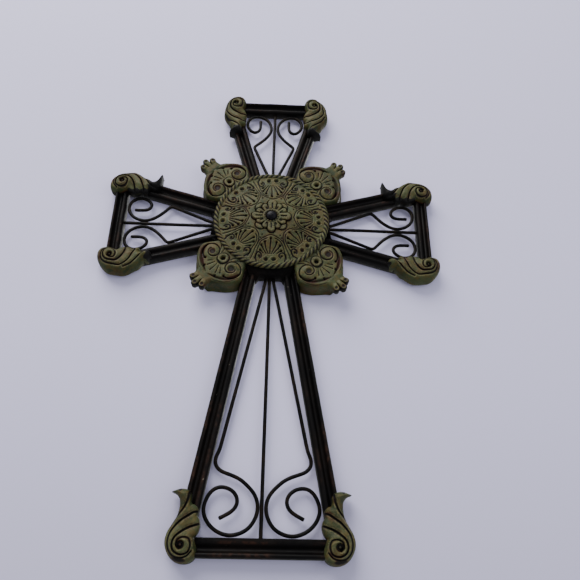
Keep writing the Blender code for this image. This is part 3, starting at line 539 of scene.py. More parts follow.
# Rails and bars of one arm
def arm_rails(name, angle, kind, material):
    """The moulding swept along one rail, across the bar and back, with its outer corners cut off."""
    reach, end_half, rail_width, bar_width = kind
    slope = arm_slope(reach, end_half)
    lean = math.sqrt(1.0 + slope * slope)
    profile = np.array(MOULDING)
    shares, heights = profile[:, 0], profile[:, 1]
    root = HUB_WALL - RAIL_SINK

    cut = CORNER_EASE + (CORNER_CUT - CORNER_EASE) * (1.0 - shares)

    def station(along, side, inwards):
        across = end_half + slope * (along - reach) - shares * rail_width * lean - inwards
        return np.stack([along, side * across, heights], -1)

    foot, bar = np.full(len(shares), root), reach - shares * bar_width
    stops = [station(foot, 1.0, 0.0), station(bar - cut, 1.0, 0.0), station(bar, 1.0, cut),
             station(bar, -1.0, cut), station(bar - cut, -1.0, 0.0), station(foot, -1.0, 0.0)]
    sections, rough = [], []
    inner_band = smooth(shares, 0.45, 0.6)
    for number, (start, end) in enumerate(zip(stops, stops[1:])):
        length = np.linalg.norm(end[0] - start[0])
        count = max(int(length / RAIL_STEP), 1)
        for step in range(count if number < 4 else count + 1):
            sections.append(start + (end - start) * step / count)
            rough.append(inner_band if number == 2 and kind is LONG_ARM else inner_band * 0.15)
    count = np.arange(len(sections))
    wave = 0.12 * np.sin(0.9 * count) + 0.1 * np.sin(0.37 * count + 1.0)
    for section, lift in zip(sections, wave):
        section[:, 2] += lift * smooth(section[:, 2], 4.0, 9.0)
    size = len(shares)
    corners = np.vstack(sections)
    faces = bands(len(sections), size)
    faces.append(tuple(range(size))[::-1])
    faces.append(tuple(range(len(corners) - size, len(corners))))
    wear_and_highlight = np.tile(smooth(heights, 8.0, 10.4) * 0.9 + 0.5 * smooth(heights, 7.6, 8.9) * (shares > 0.5),
                  len(sections))
    corners, faces = placed(corners, faces, arm_matrix(angle))
    masks = {"wear_and_highlight": wear_and_highlight, "rough": np.concatenate(rough)}
    return build(name + "_rails", corners, faces, material, masks, "cast_cross")


# Hub under the rosette, with a wall across each window
def hub_outline():
    """Outline of the hub: flat across each window, with rounded window corners."""
    outline = []
    for name, angle, kind in ARMS:
        slope = arm_slope(kind[0], kind[1])
        inner = ROOT_HALF - kind[2] * 1.04
        beyond = HUB_WALL + WALL_CORNER
        half = [(HUB_WALL, 0.0), (HUB_WALL, inner - WALL_CORNER), (HUB_WALL + 0.8, inner - 1.2),
                (beyond, inner + slope * WALL_CORNER), (beyond, inner + 4.0)]
        half = spline(half, 4)
        turn = arm_matrix(angle)[:2, :2]
        whole = np.vstack([half[::-1] * [1.0, -1.0], half[1:]])
        outline.append(whole @ turn.T)
        outline.append(polar(ROPE_RADIUS + 1.0, np.linspace(angle + 24.0, angle + 66.0, 12)))
    return np.vstack(outline)


def hub(material):
    """Round block under the rosette, with a wall across each window."""
    outline = hub_outline()
    count = len(outline)
    corners = []
    beyond = np.abs(outline).max(axis=1) - HUB_WALL
    sink = (WALL_HEIGHT - RAIL_DIP) * smooth(beyond, 0.1, 2.0)
    for z, inset in ((0.0, 0.0), (WALL_HEIGHT - 1.2, 0.0), (WALL_HEIGHT, 1.0)):
        level = np.maximum(z - sink * (z > 0.0), 0.0)
        corners.append(np.column_stack([outline * (1.0 - inset / HUB_WALL), level]))
    faces = bands(len(corners), count)
    faces.append(tuple(range(count))[::-1])
    faces.append(tuple(range(2 * count, 3 * count)))
    corners = np.vstack(corners)
    blank = np.zeros(len(corners))
    return build("hub", corners, faces, material, {"wear_and_highlight": blank, "rough": blank + 1.0}, "cast_cross")


# Corner scrolls
def bowed(points, bow):
    points = np.array(points, float)
    x, y = points[:, 0], points[:, 1]
    swell = smooth(x, -3.0, 13.0) * (1.0 - 0.8 * smooth(x, 21.0, 33.0))
    swell *= 0.5 + 0.5 * smooth(y, -8.0, 8.0)
    return np.stack([x, y + bow * swell], -1)


def lobe(start, end, bulge, count=8):
    """A bow from start to end that swells to the right of its chord."""
    start, end = np.array(start), np.array(end)
    chord = end - start
    side = np.array([chord[1], -chord[0]]) / np.linalg.norm(chord)
    share = np.arange(count) / count
    return start + share[:, None] * chord + bulge * (np.sin(np.pi * share) ** 0.7)[:, None] * side


def flared(points, flare):
    """Points with those on the leaf's outer side moved outwards by flare."""
    x, y = points[:, 0], points[:, 1]
    share = smooth(y, 0.0, 8.0) * smooth(x, -14.0, -4.0) * (1.0 - smooth(x, 20.0, 30.0))
    return np.stack([x - 0.25 * flare * smooth(-x, 0.0, 8.0), y + flare * share], -1)


def leaf_outline(bow, reach, flare):
    horn_back = spline([(24.6, 8.0), (28.8, 8.8), (31.2, 10.8), (32.5, 13.2 + 0.5 * reach),
                        (33.1, 15.4 + reach)], 5)
    horn_end = spline([(33.1, 15.4 + reach), (34.6, 13.2 + 0.7 * reach), (36.4, 10.0 + 0.2 * reach),
                       (37.0, 6.2), (36.4, 3.0), (33.6, 1.2), (29.6, 0.4), (27.8, -0.8)], 5)
    horn_end = np.vstack([horn_back[:-1], horn_end])
    lobes = np.vstack([lobe((27.8, -0.8), (20.8, -6.2), -2.6), lobe((20.8, -6.2), (6.6, -7.6), -3.0)])
    volute = spline([(6.6, -7.6), (3.4, -9.4), (-0.4, -11.2), (-4.4, -11.8), (-8.0, -10.8), (-10.8, -7.6),
                     (-12.0, -3.2), (-11.6, 1.6), (-9.6, 5.8), (-6.6, 9.0), (-3.0, 11.4), (1.2, 12.6),
                     (6.8, 12.2), (13.2, 10.0), (19.4, 8.0), (24.6, 8.0)], 5)
    return flared(bowed(np.vstack([horn_end[:-1], lobes, volute[:-1]]), bow), flare)


def leaf_lines(bow):
    """The creases between the ribs of the leaf, and the one that winds round the eye."""
    horn = [(35.4, 2.4), (33.0, 2.4), (29.8, 2.6), (24.8, 3.8), (20.4, 5.8), (15.4, 8.4), (10.0, 10.4)]
    outer = [(23.4, -6.4), (22.4, -3.2), (18.6, 0.6), (14.0, 4.6), (7.4, 8.8), (1.0, 9.5), (-4.4, 7.6),
             (-7.8, 3.3), (-8.4, -1.6), (-6.4, -6.0), (-2.4, -8.6)]
    inner = [(15.4, -8.4), (12.4, -3.2), (8.6, 1.4), (4.2, 5.2), (-0.6, 6.0), (-4.6, 3.8), (-6.2, -1.4),
             (-4.0, -6.0), (0.8, -7.2), (5.0, -5.0), (5.4, -0.6), (3.0, 2.8), (-0.6, 3.0), (-2.6, 0.6)]
    return [spline(bowed(line, bow), 6) for line in (horn, outer, inner)]


def leaf_parts(bow, reach, flare, black_from, black_side, eye_size, volute_shadow):
    """One carved leaf. The last two are the inner and outer radius of its eye and how dark the painted
    shadow below its volute is.
    """
    outline = leaf_outline(bow, reach, flare)
    lines = leaf_lines(bow)
    edge = np.vstack([outline, outline[:1]])
    veins = []
    for shift in (-1.4, 1.3):
        for line in (lines[1], lines[2]):
            veins.append(line[2:int(len(line) * 0.42)] + [shift * 0.8, shift])

    def surface(points):
        marks = wander(points, 9.0, 0.3, 1.3)
        x, y = points[:, 0], points[:, 1]
        from_eye = np.linalg.norm(points, axis=1)
        over_window = smooth(-y, -3.0, 3.0) * smooth(x, 3.0, 9.0)
        horn = smooth(x, 24.0, 34.0)
        rim = LEAF_RIM - 0.3 * flare + LOBE_RISE * over_window + HORN_RISE * horn
        crown = LEAF_CROWN + HORN_RISE * 0.7 * horn + VOLUTE_RISE * (1.0 - smooth(from_eye, 4.0, 13.0))
        crown -= LOBE_RISE * 0.4 * over_window
        to_edge = line_distance(points, edge)[0]
        dome = pillow(to_edge, LEAF_ROUNDING + 0.6 * flare * (y > 0.0))
        height = rim + (crown - rim) * dome
        crease, ink = carve(marks, lines, RIB_HALF_WIDTH, 1.30, 0.35)
        fine, fine_ink = carve(marks, veins, 0.8, 0.35, 0.6)
        eye = 1.0 - smooth(from_eye, *eye_size)
        ball = np.sqrt(np.clip(1.0 - (from_eye / 1.3) ** 2, 0.0, 1.0))
        height = height + 0.5 - RIB_DEPTH * crease * (0.35 + 0.65 * dome) - 0.3 * fine
        height = height - 2.6 * eye + 1.4 * ball
        # Crests and cut edges lighter: rubbed wear and painted highlight.
        ridge = 0.65 * (1.0 - crease) * smooth(dome, 0.55, 0.95)
        ridge = ridge + 0.8 * lit_edge(crease) * smooth(dome, 0.3, 0.7)
        # Dark in the cuts, the eye, the notches over the window and the painted shadow below the volute:
        # antiquing and painted shade.
        wash_and_shade = np.maximum(ink, 0.95 * eye * (1.0 - 0.4 * ball))
        notch = smooth(crease, 0.2, 0.8) * (1.0 - smooth(dome, 0.3, 0.9)) * over_window
        shadow_below_volute = volute_shadow * (1.0 - smooth(np.hypot((x + 9.3) / 2.0, (y + 1.0) / 6.5), 0.5, 1.1))
        wash_and_shade = np.maximum.reduce([wash_and_shade, 0.5 * fine_ink, notch, shadow_below_volute])
        ragged = black_from + 1.6 * np.sin(1.1 * y + 0.7) - 0.30 * (y - 4.0)
        end = smooth(x, ragged - 0.8, ragged + 0.8)
        strip = 0.33 * x - 8.5 + 0.7 * np.sin(0.9 * x)
        side = black_side * (1.0 - smooth(y, strip - 0.6, strip + 0.6)) * smooth(x, 4.0, 9.0)
        return height, {"wash_and_shade": wash_and_shade, "wear_and_highlight": ridge, "black": np.maximum(end, side)}

    walls = {"wash_and_shade": 0.10, "wear_and_highlight": 0.2, "black": 0.0}
    corners, faces, masks = relief(outline, SCROLL_SPACING, surface, LEAF_BASE, 0.6, walls)
    masks["black"] = np.maximum(masks["black"], smooth(corners[:, 0], black_from - 1.0, black_from + 1.0))
    # Painted shade at the foot of the walls and low on the walls on the window side, under the leaf.
    foot = 1.0 - smooth(corners[:, 2], LEAF_BASE, LEAF_BASE + 1.6)
    window_side = smooth(-corners[:, 1], 1.0, 4.0) * (1.0 - smooth(corners[:, 2], 7.5, 10.5))
    masks["wash_and_shade"] = np.maximum.reduce([masks["wash_and_shade"], 0.8 * foot, 0.9 * window_side])
    return corners, faces, masks


def scroll_matrix(angle, kind, eye_inset, scale, side):
    reach, end_half = kind[0], kind[1]
    lean = math.atan(arm_slope(reach, end_half))
    c, s = math.cos(lean), math.sin(lean)
    turn = np.array([
        [-c * scale, -s * scale, 0.0, reach - eye_inset[0]],
        [-s * scale * side, c * scale * side, 0.0, (end_half - eye_inset[1]) * side],
        [0.0, 0.0, 1.0, 0.0],
        [0.0, 0.0, 0.0, 1.0]])
    return arm_matrix(angle) @ turn


def scrolls(material):
    for name, angle, kind in ARMS:
        bow, eye_size, volute_shadow = SHORT_LEAF_BOW, SHORT_EYE_SIZE, SHORT_VOLUTE_SHADOW
        eye_inset, scale = SHORT_EYE_INSET, SHORT_SCROLL_SCALE
        if kind is LONG_ARM:
            bow, eye_size, volute_shadow = LONG_LEAF_BOW, LONG_EYE_SIZE, LONG_VOLUTE_SHADOW
            eye_inset, scale = LONG_EYE_INSET, LONG_SCROLL_SCALE
        for side, label, leaf in ((1.0, "_leaf_left", 0), (-1.0, "_leaf_right", 1)):
            own = [table[name][leaf] for table in (LEAF_HORN, LEAF_FLARE, LEAF_BLACK_FROM, LEAF_BLACK_SIDE)]
            corners, faces, masks = leaf_parts(bow, *own, eye_size, volute_shadow)
            matrix = scroll_matrix(angle, kind, eye_inset, scale, side)
            moved, turned = placed(corners, faces, matrix)
            build(name + label, moved, turned, material, masks, "cast_cross")


# Palmettes
def palmette_outline():
    half = spline([(-7.9, 15.0), (0.6, 20.6), (7.6, 24.4), (14.1, 22.6), (19.5, 18.8), (23.9, 14.0),
                   (27.4, 9.8), (30.2, 7.4)], 6)
    return np.vstack([half, half[::-1] * [1.0, -1.0]])


def tip_outline():
    side_end, long_end = np.array(CLAWS[0][1]), np.array(CLAWS[1][1])
    half = np.vstack([
        spline([(23.4, 10.4), (26.8, 8.8), (30.2, 8.0), (32.6, 7.9)], 4),
        side_end + polar(CLAW_RADIUS, np.linspace(118.0, -50.0, 14)),
        [(36.6, 3.2)],
        long_end + polar(CLAW_RADIUS, np.linspace(98.0, 0.0, 9))])
    return np.vstack([half, half[::-1] * [1.0, -1.0]])


def volute_spiral(centre):
    """Crease that winds into a volute, from the pit beside the fan to the eye."""
    angles = np.linspace(2.0, 480.0, 52)
    radii = np.interp(angles, [2.0, 110.0, 200.0, 290.0, 385.0, 480.0], [8.9, 8.3, 7.0, 5.2, 3.9, 3.4])
    return np.array(centre) + polar(radii, angles)


def palmette_surface(points):
    marks = wander(points, 11.0, 0.5, 0.4)
    folded = np.stack([marks[:, 0], np.abs(marks[:, 1])], -1)
    volute = np.array([7.2, 12.2])
    edge = palmette_outline()
    edge = np.vstack([edge, edge[:1]])
    to_edge = line_distance(points, edge)[0]
    dome = pillow(to_edge, 2.8)
    height = PALMETTE_RIM + (PALMETTE_CROWN - PALMETTE_RIM) * dome
    from_volute = np.linalg.norm(folded - volute, axis=1)
    height = height + 1.9 * (1.0 - smooth(from_volute, 1.0, 9.5))
    scrolls = [volute_spiral(volute)]
    fan = [spline([(21.0, 0.0), (16.4, 0.0), (12.4, 0.0)], 4),
           spline([(19.4, 5.2), (16.0, 4.0), (12.6, 2.6)], 4),
           spline([(16.4, 8.2), (14.4, 6.6), (12.8, 5.2)], 4)]
    rim = [spline([(23.6, 3.6), (22.2, 7.8), (20.2, 11.7), (17.6, 15.2), (14.0, 18.2), (9.8, 20.0),
                   (4.6, 20.4)], 5)]
    brim = [spline([(26.2, 6.0), (24.2, 11.2), (20.8, 16.4), (15.4, 20.4), (9.0, 22.6)], 5)]
    roots = [spline([(-5.4, 9.6), (-1.6, 6.6), (2.2, 5.6)], 4),
             spline([(-4.6, 13.4), (-1.8, 10.2), (1.0, 8.6)], 4),
             np.array([(9.9, 0.0), (9.9, 2.4)])]
    scroll_cut, scroll_ink = carve(folded, scrolls, 1.9, 0.95, 0.25)
    fan_cut, fan_ink = carve(folded, fan, 1.3, 0.85, 0.6)
    rim_gap, rim_passed = line_distance(folded, rim[0])
    rim_width = 0.6 + 1.8 * np.sin(np.pi * rim_passed) ** 0.7
    rim_cut = 1.0 - pillow(rim_gap, rim_width + 0.5)
    rim_ink = 0.55 * (1.0 - smooth(rim_gap, 0.6 * rim_width, rim_width + 0.1))
    brim_cut, brim_ink = carve(folded, brim, 0.8, 0.40, 0.3)
    root_cut, root_ink = carve(folded, roots, 1.0, 0.65, 0.3)
    holes = pits(folded, [(16.0, 12.4), (21.6, 6.6), (24.8, 2.6)], 1.7)
    ring_gap = np.linalg.norm(folded - [5.4, 0.0], axis=1)
    ring = pillow(np.clip(1.7 - np.abs(ring_gap - 3.6), 0.0, 1.7), 1.5)
    hole = 1.0 - smooth(ring_gap, 1.2, 2.4)
    ring_edge = 1.0 - smooth(np.abs(ring_gap - 5.2), 0.3, 0.9)
    eye = 1.0 - smooth(from_volute, 1.7, 3.5)
    height = height - 1.9 * scroll_cut - 1.5 * fan_cut - 2.3 * rim_cut - 0.7 * brim_cut - 1.0 * root_cut
    height = height - 1.3 * holes + 1.3 * ring - 2.4 * hole - 1.7 * eye - 0.5 * ring_edge
    height = height - 1.8 * smooth(points[:, 0], 24.0, 30.0)
    # Dark in the cuts, pits, ring and eye: antiquing and painted shade. Crests and cut edges lighter:
    # rubbed wear and painted highlight.
    wash_and_shade = np.maximum.reduce([scroll_ink, fan_ink, rim_ink, 0.8 * brim_ink, root_ink, holes, hole,
                                0.70 * eye, 0.75 * ring_edge])
    cuts = np.maximum.reduce([scroll_cut, fan_cut, rim_cut, ring_edge])
    ridge = 0.65 * (1.0 - cuts) * smooth(dome, 0.5, 0.95) + 0.8 * lit_edge(np.maximum(scroll_cut, fan_cut))
    ridge = np.clip(ridge + 0.5 * ring, 0.0, 1.0)
    return height, {"wash_and_shade": wash_and_shade, "wear_and_highlight": ridge, "black": np.zeros(len(points))}


def tip_surface(points):
    outline = tip_outline()
    to_edge = line_distance(points, np.vstack([outline, outline[:1]]))[0]
    gaps = np.sort([line_distance(points, np.array(claw))[0] for claw in CLAWS], axis=0)
    on_claws = smooth(points[:, 0], 30.0, 34.0)
    finger = np.sqrt(np.clip(1.0 - (gaps[0] / (CLAW_RADIUS + 0.3)) ** 2, 0.0, 1.0))
    neck = 0.7 * pillow(to_edge, 3.4)
    height = TIP_RIM + TIP_RISE * (neck + (finger - neck) * on_claws)
    valley = (1.0 - smooth(gaps[1] - gaps[0], 0.2, 1.3)) * smooth(points[:, 0], 30.5, 33.5)
    nails = pits(points, [np.array(claw[1]) - [0.6, 0.0] for claw in CLAWS], 2.1)
    height = height - 1.5 * valley - 0.9 * nails
    # Dark between the claws, in the hollow ends and along the claws' edges: painted shade.
    wash_and_shade = np.maximum.reduce([valley, 0.9 * nails, 0.5 * (1.0 - smooth(to_edge, 0.2, 0.9)) * on_claws])
    black = (1.0 - smooth(to_edge, 0.3, 1.4)) * smooth(points[:, 0], 34.0, 36.5)
    return height, {"wash_and_shade": wash_and_shade, "wear_and_highlight": smooth(finger, 0.5, 0.95) * (1.0 - valley), "black": black}


def palmettes(material):
    walls = {"wash_and_shade": 0.20, "wear_and_highlight": 0.25, "black": 0.0}
    body = relief(palmette_outline(), PALMETTE_SPACING, palmette_surface, PALMETTE_BASE, -1.8, walls)
    tip = relief(tip_outline(), PALMETTE_SPACING, tip_surface, TIP_BASE, 1.4, walls)
    tip_corners, _, tip_masks = tip
    on_walls = tip_corners[:, 2] < TIP_RIM - 0.5
    tip_masks["black"] = np.maximum(tip_masks["black"], on_walls * smooth(tip_corners[:, 0], 33.0, 36.0))
    shift = np.array(Matrix.Translation((ROPE_EDGE, 0.0, 0.0)))
    for name, angle, _ in ARMS:
        matrix = arm_matrix(angle + 45.0) @ shift
        for label, (corners, faces, masks) in (("_palmette", body), ("_palmette_tip", tip)):
            moved, turned = placed(corners, faces, matrix)
            build(name + label, moved, turned, material, masks, "cast_cross")


# Rosette
def sector_line(radii, degrees, steps=6):
    """A spline through points given by their radius and their angle from the sector's middle."""
    return spline(polar(np.array(radii), np.array(degrees)), steps)


def petal_depth(along, across, tip, half_width):
    """How far each point lies inside a petal."""
    round_end = half_width - np.hypot(np.maximum(along - (tip - half_width), 0.0), across)
    taper = 0.18 * np.maximum(tip - half_width - along, 0.0)
    return round_end - taper


def flower(radius, angle, height, wash_and_shade):
    """Lays the flower over the field: four petals behind, eight small ones and four large ones."""
    quarter = np.abs((angle + 45.0) % 90.0 - 45.0)
    in_flower = np.zeros(len(radius))
    for axis, tip, half_width, lift in PETALS:
        local = np.radians(quarter - axis)
        along, across = radius * np.cos(local), np.abs(radius * np.sin(local))
        depth = petal_depth(along, across, tip, half_width)
        share = smooth(depth, -0.15, 0.25)
        # Painted shadow: a dark, sunken outline round each petal, where it stands above the field.
        outline = (1.0 - smooth(-depth, 0.55, 1.25)) * (1.0 - share)
        vein = smooth(along, 7.4, 8.4) * (1.0 - smooth(along, tip - 4.4, tip - 3.0))
        vein = vein * (1.0 - smooth(across, 0.30, 0.80))
        top = FIELD_CROWN_HEIGHT + FLOWER_RISE + lift
        top = top + 0.65 * pillow(np.maximum(depth, 0.0), 1.5) - 0.9 * vein
        height = height - 0.8 * outline
        height = height + (top - height) * share
        wash_and_shade = np.maximum(wash_and_shade * (1.0 - share), np.maximum(outline, vein * share))
        in_flower = np.maximum(in_flower, share)
    return height, wash_and_shade, in_flower


def rosette_surface(points):
    marks = wander(wander(points, 13.0, 0.6, 2.2), 4.0, 0.18, 0.9)
    radius = np.linalg.norm(points, axis=1)
    drawn = np.linalg.norm(marks, axis=1)
    angle = np.degrees(np.arctan2(marks[:, 1], marks[:, 0]))
    step = 360.0 / SECTORS
    local = np.abs((angle + step / 2.0) % step - step / 2.0)
    folded = polar(drawn, local)
    field_rise = FIELD_CROWN_HEIGHT - FIELD_EDGE_HEIGHT
    field = FIELD_EDGE_HEIGHT + field_rise * (1.0 - smooth(radius, 18.0, 47.0))

    arches = [sector_line([46.0, 40.0, 34.0, 28.5, 25.0, 22.4, 20.4, 19.6],
                          [22.5, 22.5, 22.5, 22.0, 19.8, 14.6, 7.0, 0.0]),
              sector_line([44.6, 38.0, 32.0, 27.6, 24.6, 23.0], [18.4, 18.4, 19.0, 18.4, 14.4, 9.0])]
    fans = [spline([(22.9, 0.0), (29.0, 0.0), (FAN_FOOT, 0.0)], 6),
            spline([(26.0, 5.2), (31.0, 4.0), (FAN_FOOT, 1.3)], 6),
            spline([(29.2, 8.2), (33.0, 6.0), (FAN_FOOT - 0.2, 3.0)], 6),
            spline([(34.0, 9.0), (35.4, 7.4), (37.2, 5.8)], 6)]
    curl_eye = np.array([39.6, 9.8])
    curl = [spline([(45.0, 12.4), (41.4, 13.2), (38.0, 12.6), (36.2, 10.4), (37.2, 8.2), (39.8, 7.6),
                    (41.6, 9.2)], 6)]
    arch_cut, arch_ink = carve(folded, arches, 1.6, 0.66)
    fan_cut, fan_ink = carve(folded, fans, 1.5, 1.10, 0.55)
    curl_cut, curl_ink = carve(folded, curl, 1.4, 1.10)
    clubs = pits(folded, [fan[0] for fan in fans], 1.6)
    boss = np.array([42.9, 3.4])
    bosses = pits(folded, [boss], 2.3)
    boss_rim = 1.0 - smooth(np.abs(np.linalg.norm(folded - boss, axis=1) - 2.7), 0.2, 0.8)
    eyes = pits(folded, [curl_eye], 1.7)
    spandrel = pits(folded, [polar(21.6, 22.5), polar(24.4, 22.5)], 1.1)
    outside = smooth(radius, 17.8, 19.0)
    height = field + 0.9 - outside * (1.3 * arch_cut + 1.7 * fan_cut + 1.3 * curl_cut + 1.2 * clubs
                                      + 1.5 * bosses + 1.2 * eyes + 0.7 * spandrel - 0.4 * boss_rim)
    # Dark in the cuts and pits: antiquing and painted shade.
    wash_and_shade = outside * np.maximum.reduce([0.8 * arch_ink, fan_ink, curl_ink, clubs, bosses, eyes,
                                          0.8 * spandrel])

    height, wash_and_shade, in_flower = flower(drawn, angle, height, wash_and_shade)
    heart = 1.0 - smooth(radius, 7.6, 8.2)
    height = height + (FIELD_CROWN_HEIGHT + FLOWER_RISE + 0.2 - height) * heart
    wash_and_shade = wash_and_shade * (1.0 - heart)
    collar = 1.0 - smooth(np.abs(radius - 6.0), 0.3, 0.9)
    beading = 0.5 + 0.5 * np.cos(np.radians(angle * 15.0))
    height = height + collar * (0.35 + 0.5 * beading)
    seat = 1.0 - smooth(radius, BEAD_RADIUS + 0.1, BEAD_RADIUS + 0.6)
    height = height - 1.2 * seat
    # Painted shade in the seat round the bead and between the collar's beads.
    wash_and_shade = np.maximum.reduce([wash_and_shade, seat, 0.9 * collar * (1.0 - beading)])
    cuts = np.clip(arch_cut + fan_cut + curl_cut + clubs + bosses, 0.0, 1.0)
    edges = np.maximum.reduce([lit_edge(arch_cut), lit_edge(fan_cut), lit_edge(curl_cut), boss_rim])
    # Flower and crests lighter: rubbed wear and painted highlight.
    ridge = np.where(radius < 18.4, 0.9 * in_flower * (1.0 - wash_and_shade), 0.6 * (1.0 - cuts) + 0.8 * edges)
    return height, {"wash_and_shade": wash_and_shade, "wear_and_highlight": ridge, "black": np.zeros(len(points))}


def rosette(material):
    """The relief inside the rope, on rings round the centre of the cross."""
    radii = np.concatenate([[0.001, 3.0], np.arange(BEAD_RADIUS - 0.3, ROPE_RADIUS - 1.6, 0.33)])
    sides = 620
    turns = np.arange(sides) * 360.0 / sides
    points = polar(np.repeat(radii, sides), np.tile(turns, len(radii)))
    heights, masks = rosette_surface(points)
    corners = np.column_stack([points, heights])
    skirt = np.column_stack([polar(radii[-1], turns), np.full(sides, ROSETTE_BASE)])
    corners = np.vstack([corners, skirt])
    # The skirt under the rope is painted dark: painted shade.
    masks = {name: np.concatenate([values, np.full(sides, 0.8)]) for name, values in masks.items()}
    faces = []
    for k in range(len(radii)):
        for j in range(sides):
            after = (j + 1) % sides
            faces.append((k * sides + j, (k + 1) * sides + j, (k + 1) * sides + after, k * sides + after))
    faces.append(tuple(range(len(radii) * sides, len(corners)))[::-1])
    build("rosette", oval(corners), faces, material, masks, "cast_cross")


def rope(material):
    """Twisted cord round the rosette."""
    along, around = ROPE_STRANDS * 14, 26
    theta = np.repeat(np.arange(along) * 2.0 * np.pi / along, around)
    phi = np.tile(np.arange(around) * 2.0 * np.pi / around, along)
    phase = ROPE_STRANDS * theta - 3.4 * phi + 0.35 * np.sin(3.0 * theta) + 0.25 * np.sin(7.0 * theta + 1.0)
    strand = np.abs(np.sin(0.5 * phase))
    swell = 0.66 + 0.36 * strand ** 0.6
    gap_width = 0.24 + 0.42 * np.clip(np.sin(phi + 0.3), 0.0, 1.0)
    radial = ROPE_RADIUS + ROPE_HALF_WIDTH * swell * np.cos(phi)
    lift = ROPE_MIDDLE + ROPE_HALF_HEIGHT * swell * np.sin(phi)
    corners = np.stack([radial * np.cos(theta), radial * np.sin(theta), lift], -1)
    faces = []
    for k in range(along):
        for j in range(around):
            next_k, next_j = (k + 1) % along, (j + 1) % around
            faces.append((k * around + j, next_k * around + j, next_k * around + next_j,
                          k * around + next_j))
    # Painted shade in the gaps between strands and on the lower side of the cord, painted highlight on the
    # tops of the strands facing out, and the lower side towards the wall painted black as shade.
    masks = {"wash_and_shade": np.maximum(1.0 - smooth(strand, gap_width - 0.16, gap_width + 0.12),
                                  0.85 * smooth(-np.sin(phi), -0.1, 0.5)),
             "wear_and_highlight": smooth(strand, 0.6, 0.95) * smooth(np.sin(phi), -0.2, 0.6),
             "black": smooth(-np.sin(phi) + 0.3 * np.cos(phi), -0.1, 0.35)}
    build("rope", oval(corners), faces, material, masks, "cast_cross")


# Wires
SHORT_SCROLL_PATH = [
    (42.4, 0.91), (39.1, 0.96), (34.6, 0.61), (28.2, 0.26), (21.8, 0.06), (15.6, 0.0), (8.4, 0.07),
    (2.8, 0.23), (0.4, 0.44), (1.4, 0.66), (5.6, 0.84), (11.2, 0.94), (17.2, 0.92), (21.2, 0.76),
    (20.0, 0.57), (15.9, 0.46), (6.0, 0.41)]
LONG_SCROLL_PATH = [
    (59.3, 0.93), (54.1, 0.98), (48.9, 0.95), (44.5, 0.81), (42.4, 0.63), (39.0, 0.39), (33.6, 0.20),
    (27.7, 0.06), (20.5, 0.0), (12.3, 0.03), (4.7, 0.15), (0.7, 0.33), (0.1, 0.51), (3.2, 0.71),
    (8.8, 0.87), (16.3, 0.98), (23.3, 0.98), (30.1, 0.91), (33.2, 0.76), (31.8, 0.56), (27.5, 0.42),
    (22.6, 0.38), (18.0, 0.42), (14.7, 0.52), (11.2, 0.68)]


def wire_path(shape, kind):
    """Middle of a bent wire, in the arm's frame."""
    reach, end_half, rail_width, bar_width = kind
    slope = arm_slope(reach, end_half)
    lean = math.sqrt(1.0 + slope * slope)
    farthest = reach - bar_width - WIRE_RADIUS - CLEARANCE
    beside_rod = 2.0 * WIRE_RADIUS + CLEARANCE
    bends = []
    for back, share in shape:
        along = farthest - back
        beside_rail = end_half + slope * (along - reach) - (rail_width + WIRE_RADIUS + CLEARANCE) * lean
        bends.append((along, beside_rod + share * (beside_rail - beside_rod)))
    start = HUB_WALL - SOCKET_DEPTH + CLEARANCE
    straight = [(start, beside_rod), (HUB_WALL + CLEARANCE, beside_rod)]
    if kind is SHORT_ARM:
        straight.append(bends[0])
        curved = spline(bends[1:], 10)
    else:
        curved = spline(bends, 10)
    line = even_steps(np.vstack([straight, curved]), 0.7)
    for _ in range(BEND_SOFTENING):
        line[1:-1] = 0.25 * line[:-2] + 0.5 * line[1:-1] + 0.25 * line[2:]
    return line


def wire(name, path, angle, material):
    """Round wire along a flat path, with slightly rounded ends."""
    ends = [path[0], path[-1]]
    tangent = np.gradient(path, axis=0)
    tangent /= np.linalg.norm(tangent, axis=1)[:, None]
    side = np.stack([-tangent[:, 1], tangent[:, 0]], -1)
    turns = np.arange(WIRE_SIDES) * 2.0 * np.pi / WIRE_SIDES
    rings = [(ends[0], side[0], 0.72)]
    rings += [(spot, across, 1.0) for spot, across in zip(path[1:-1], side[1:-1])]
    rings += [(ends[1], side[-1], 0.72)]
    corners = []
    for spot, across, share in rings:
        radius = (WIRE_RADIUS + WIRE_COAT) * share
        flat = spot + radius * np.cos(turns)[:, None] * across
        corners.append(np.column_stack([flat, WIRE_HEIGHT + radius * np.sin(turns)]))
    faces = bands(len(rings), WIRE_SIDES)
    faces.append(tuple(range(WIRE_SIDES))[::-1])
    faces.append(tuple(range((len(rings) - 1) * WIRE_SIDES, len(rings) * WIRE_SIDES)))
    corners, faces = placed(np.vstack(corners), faces, arm_matrix(angle))
    return build(name + "_wire", corners, faces, material, {}, name)


def wires(material):
    for name, angle, kind in ARMS:
        start, end = HUB_WALL - SOCKET_DEPTH + CLEARANCE, kind[0] - kind[3] + SOCKET_DEPTH - CLEARANCE
        rod = even_steps(np.array([(start, 0.0), (end, 0.0)]), 3.0)
        rod[1:-1, 1] += 0.12 * np.sin(np.linspace(0.0, 5.0, len(rod) - 2))
        wire(name + "_rod", rod, angle, material)
        path = wire_path(LONG_SCROLL_PATH if kind is LONG_ARM else SHORT_SCROLL_PATH, kind)
        wire(name + "_scroll_a", path, angle, material)
        wire(name + "_scroll_b", path * [1.0, -1.0], angle, material)


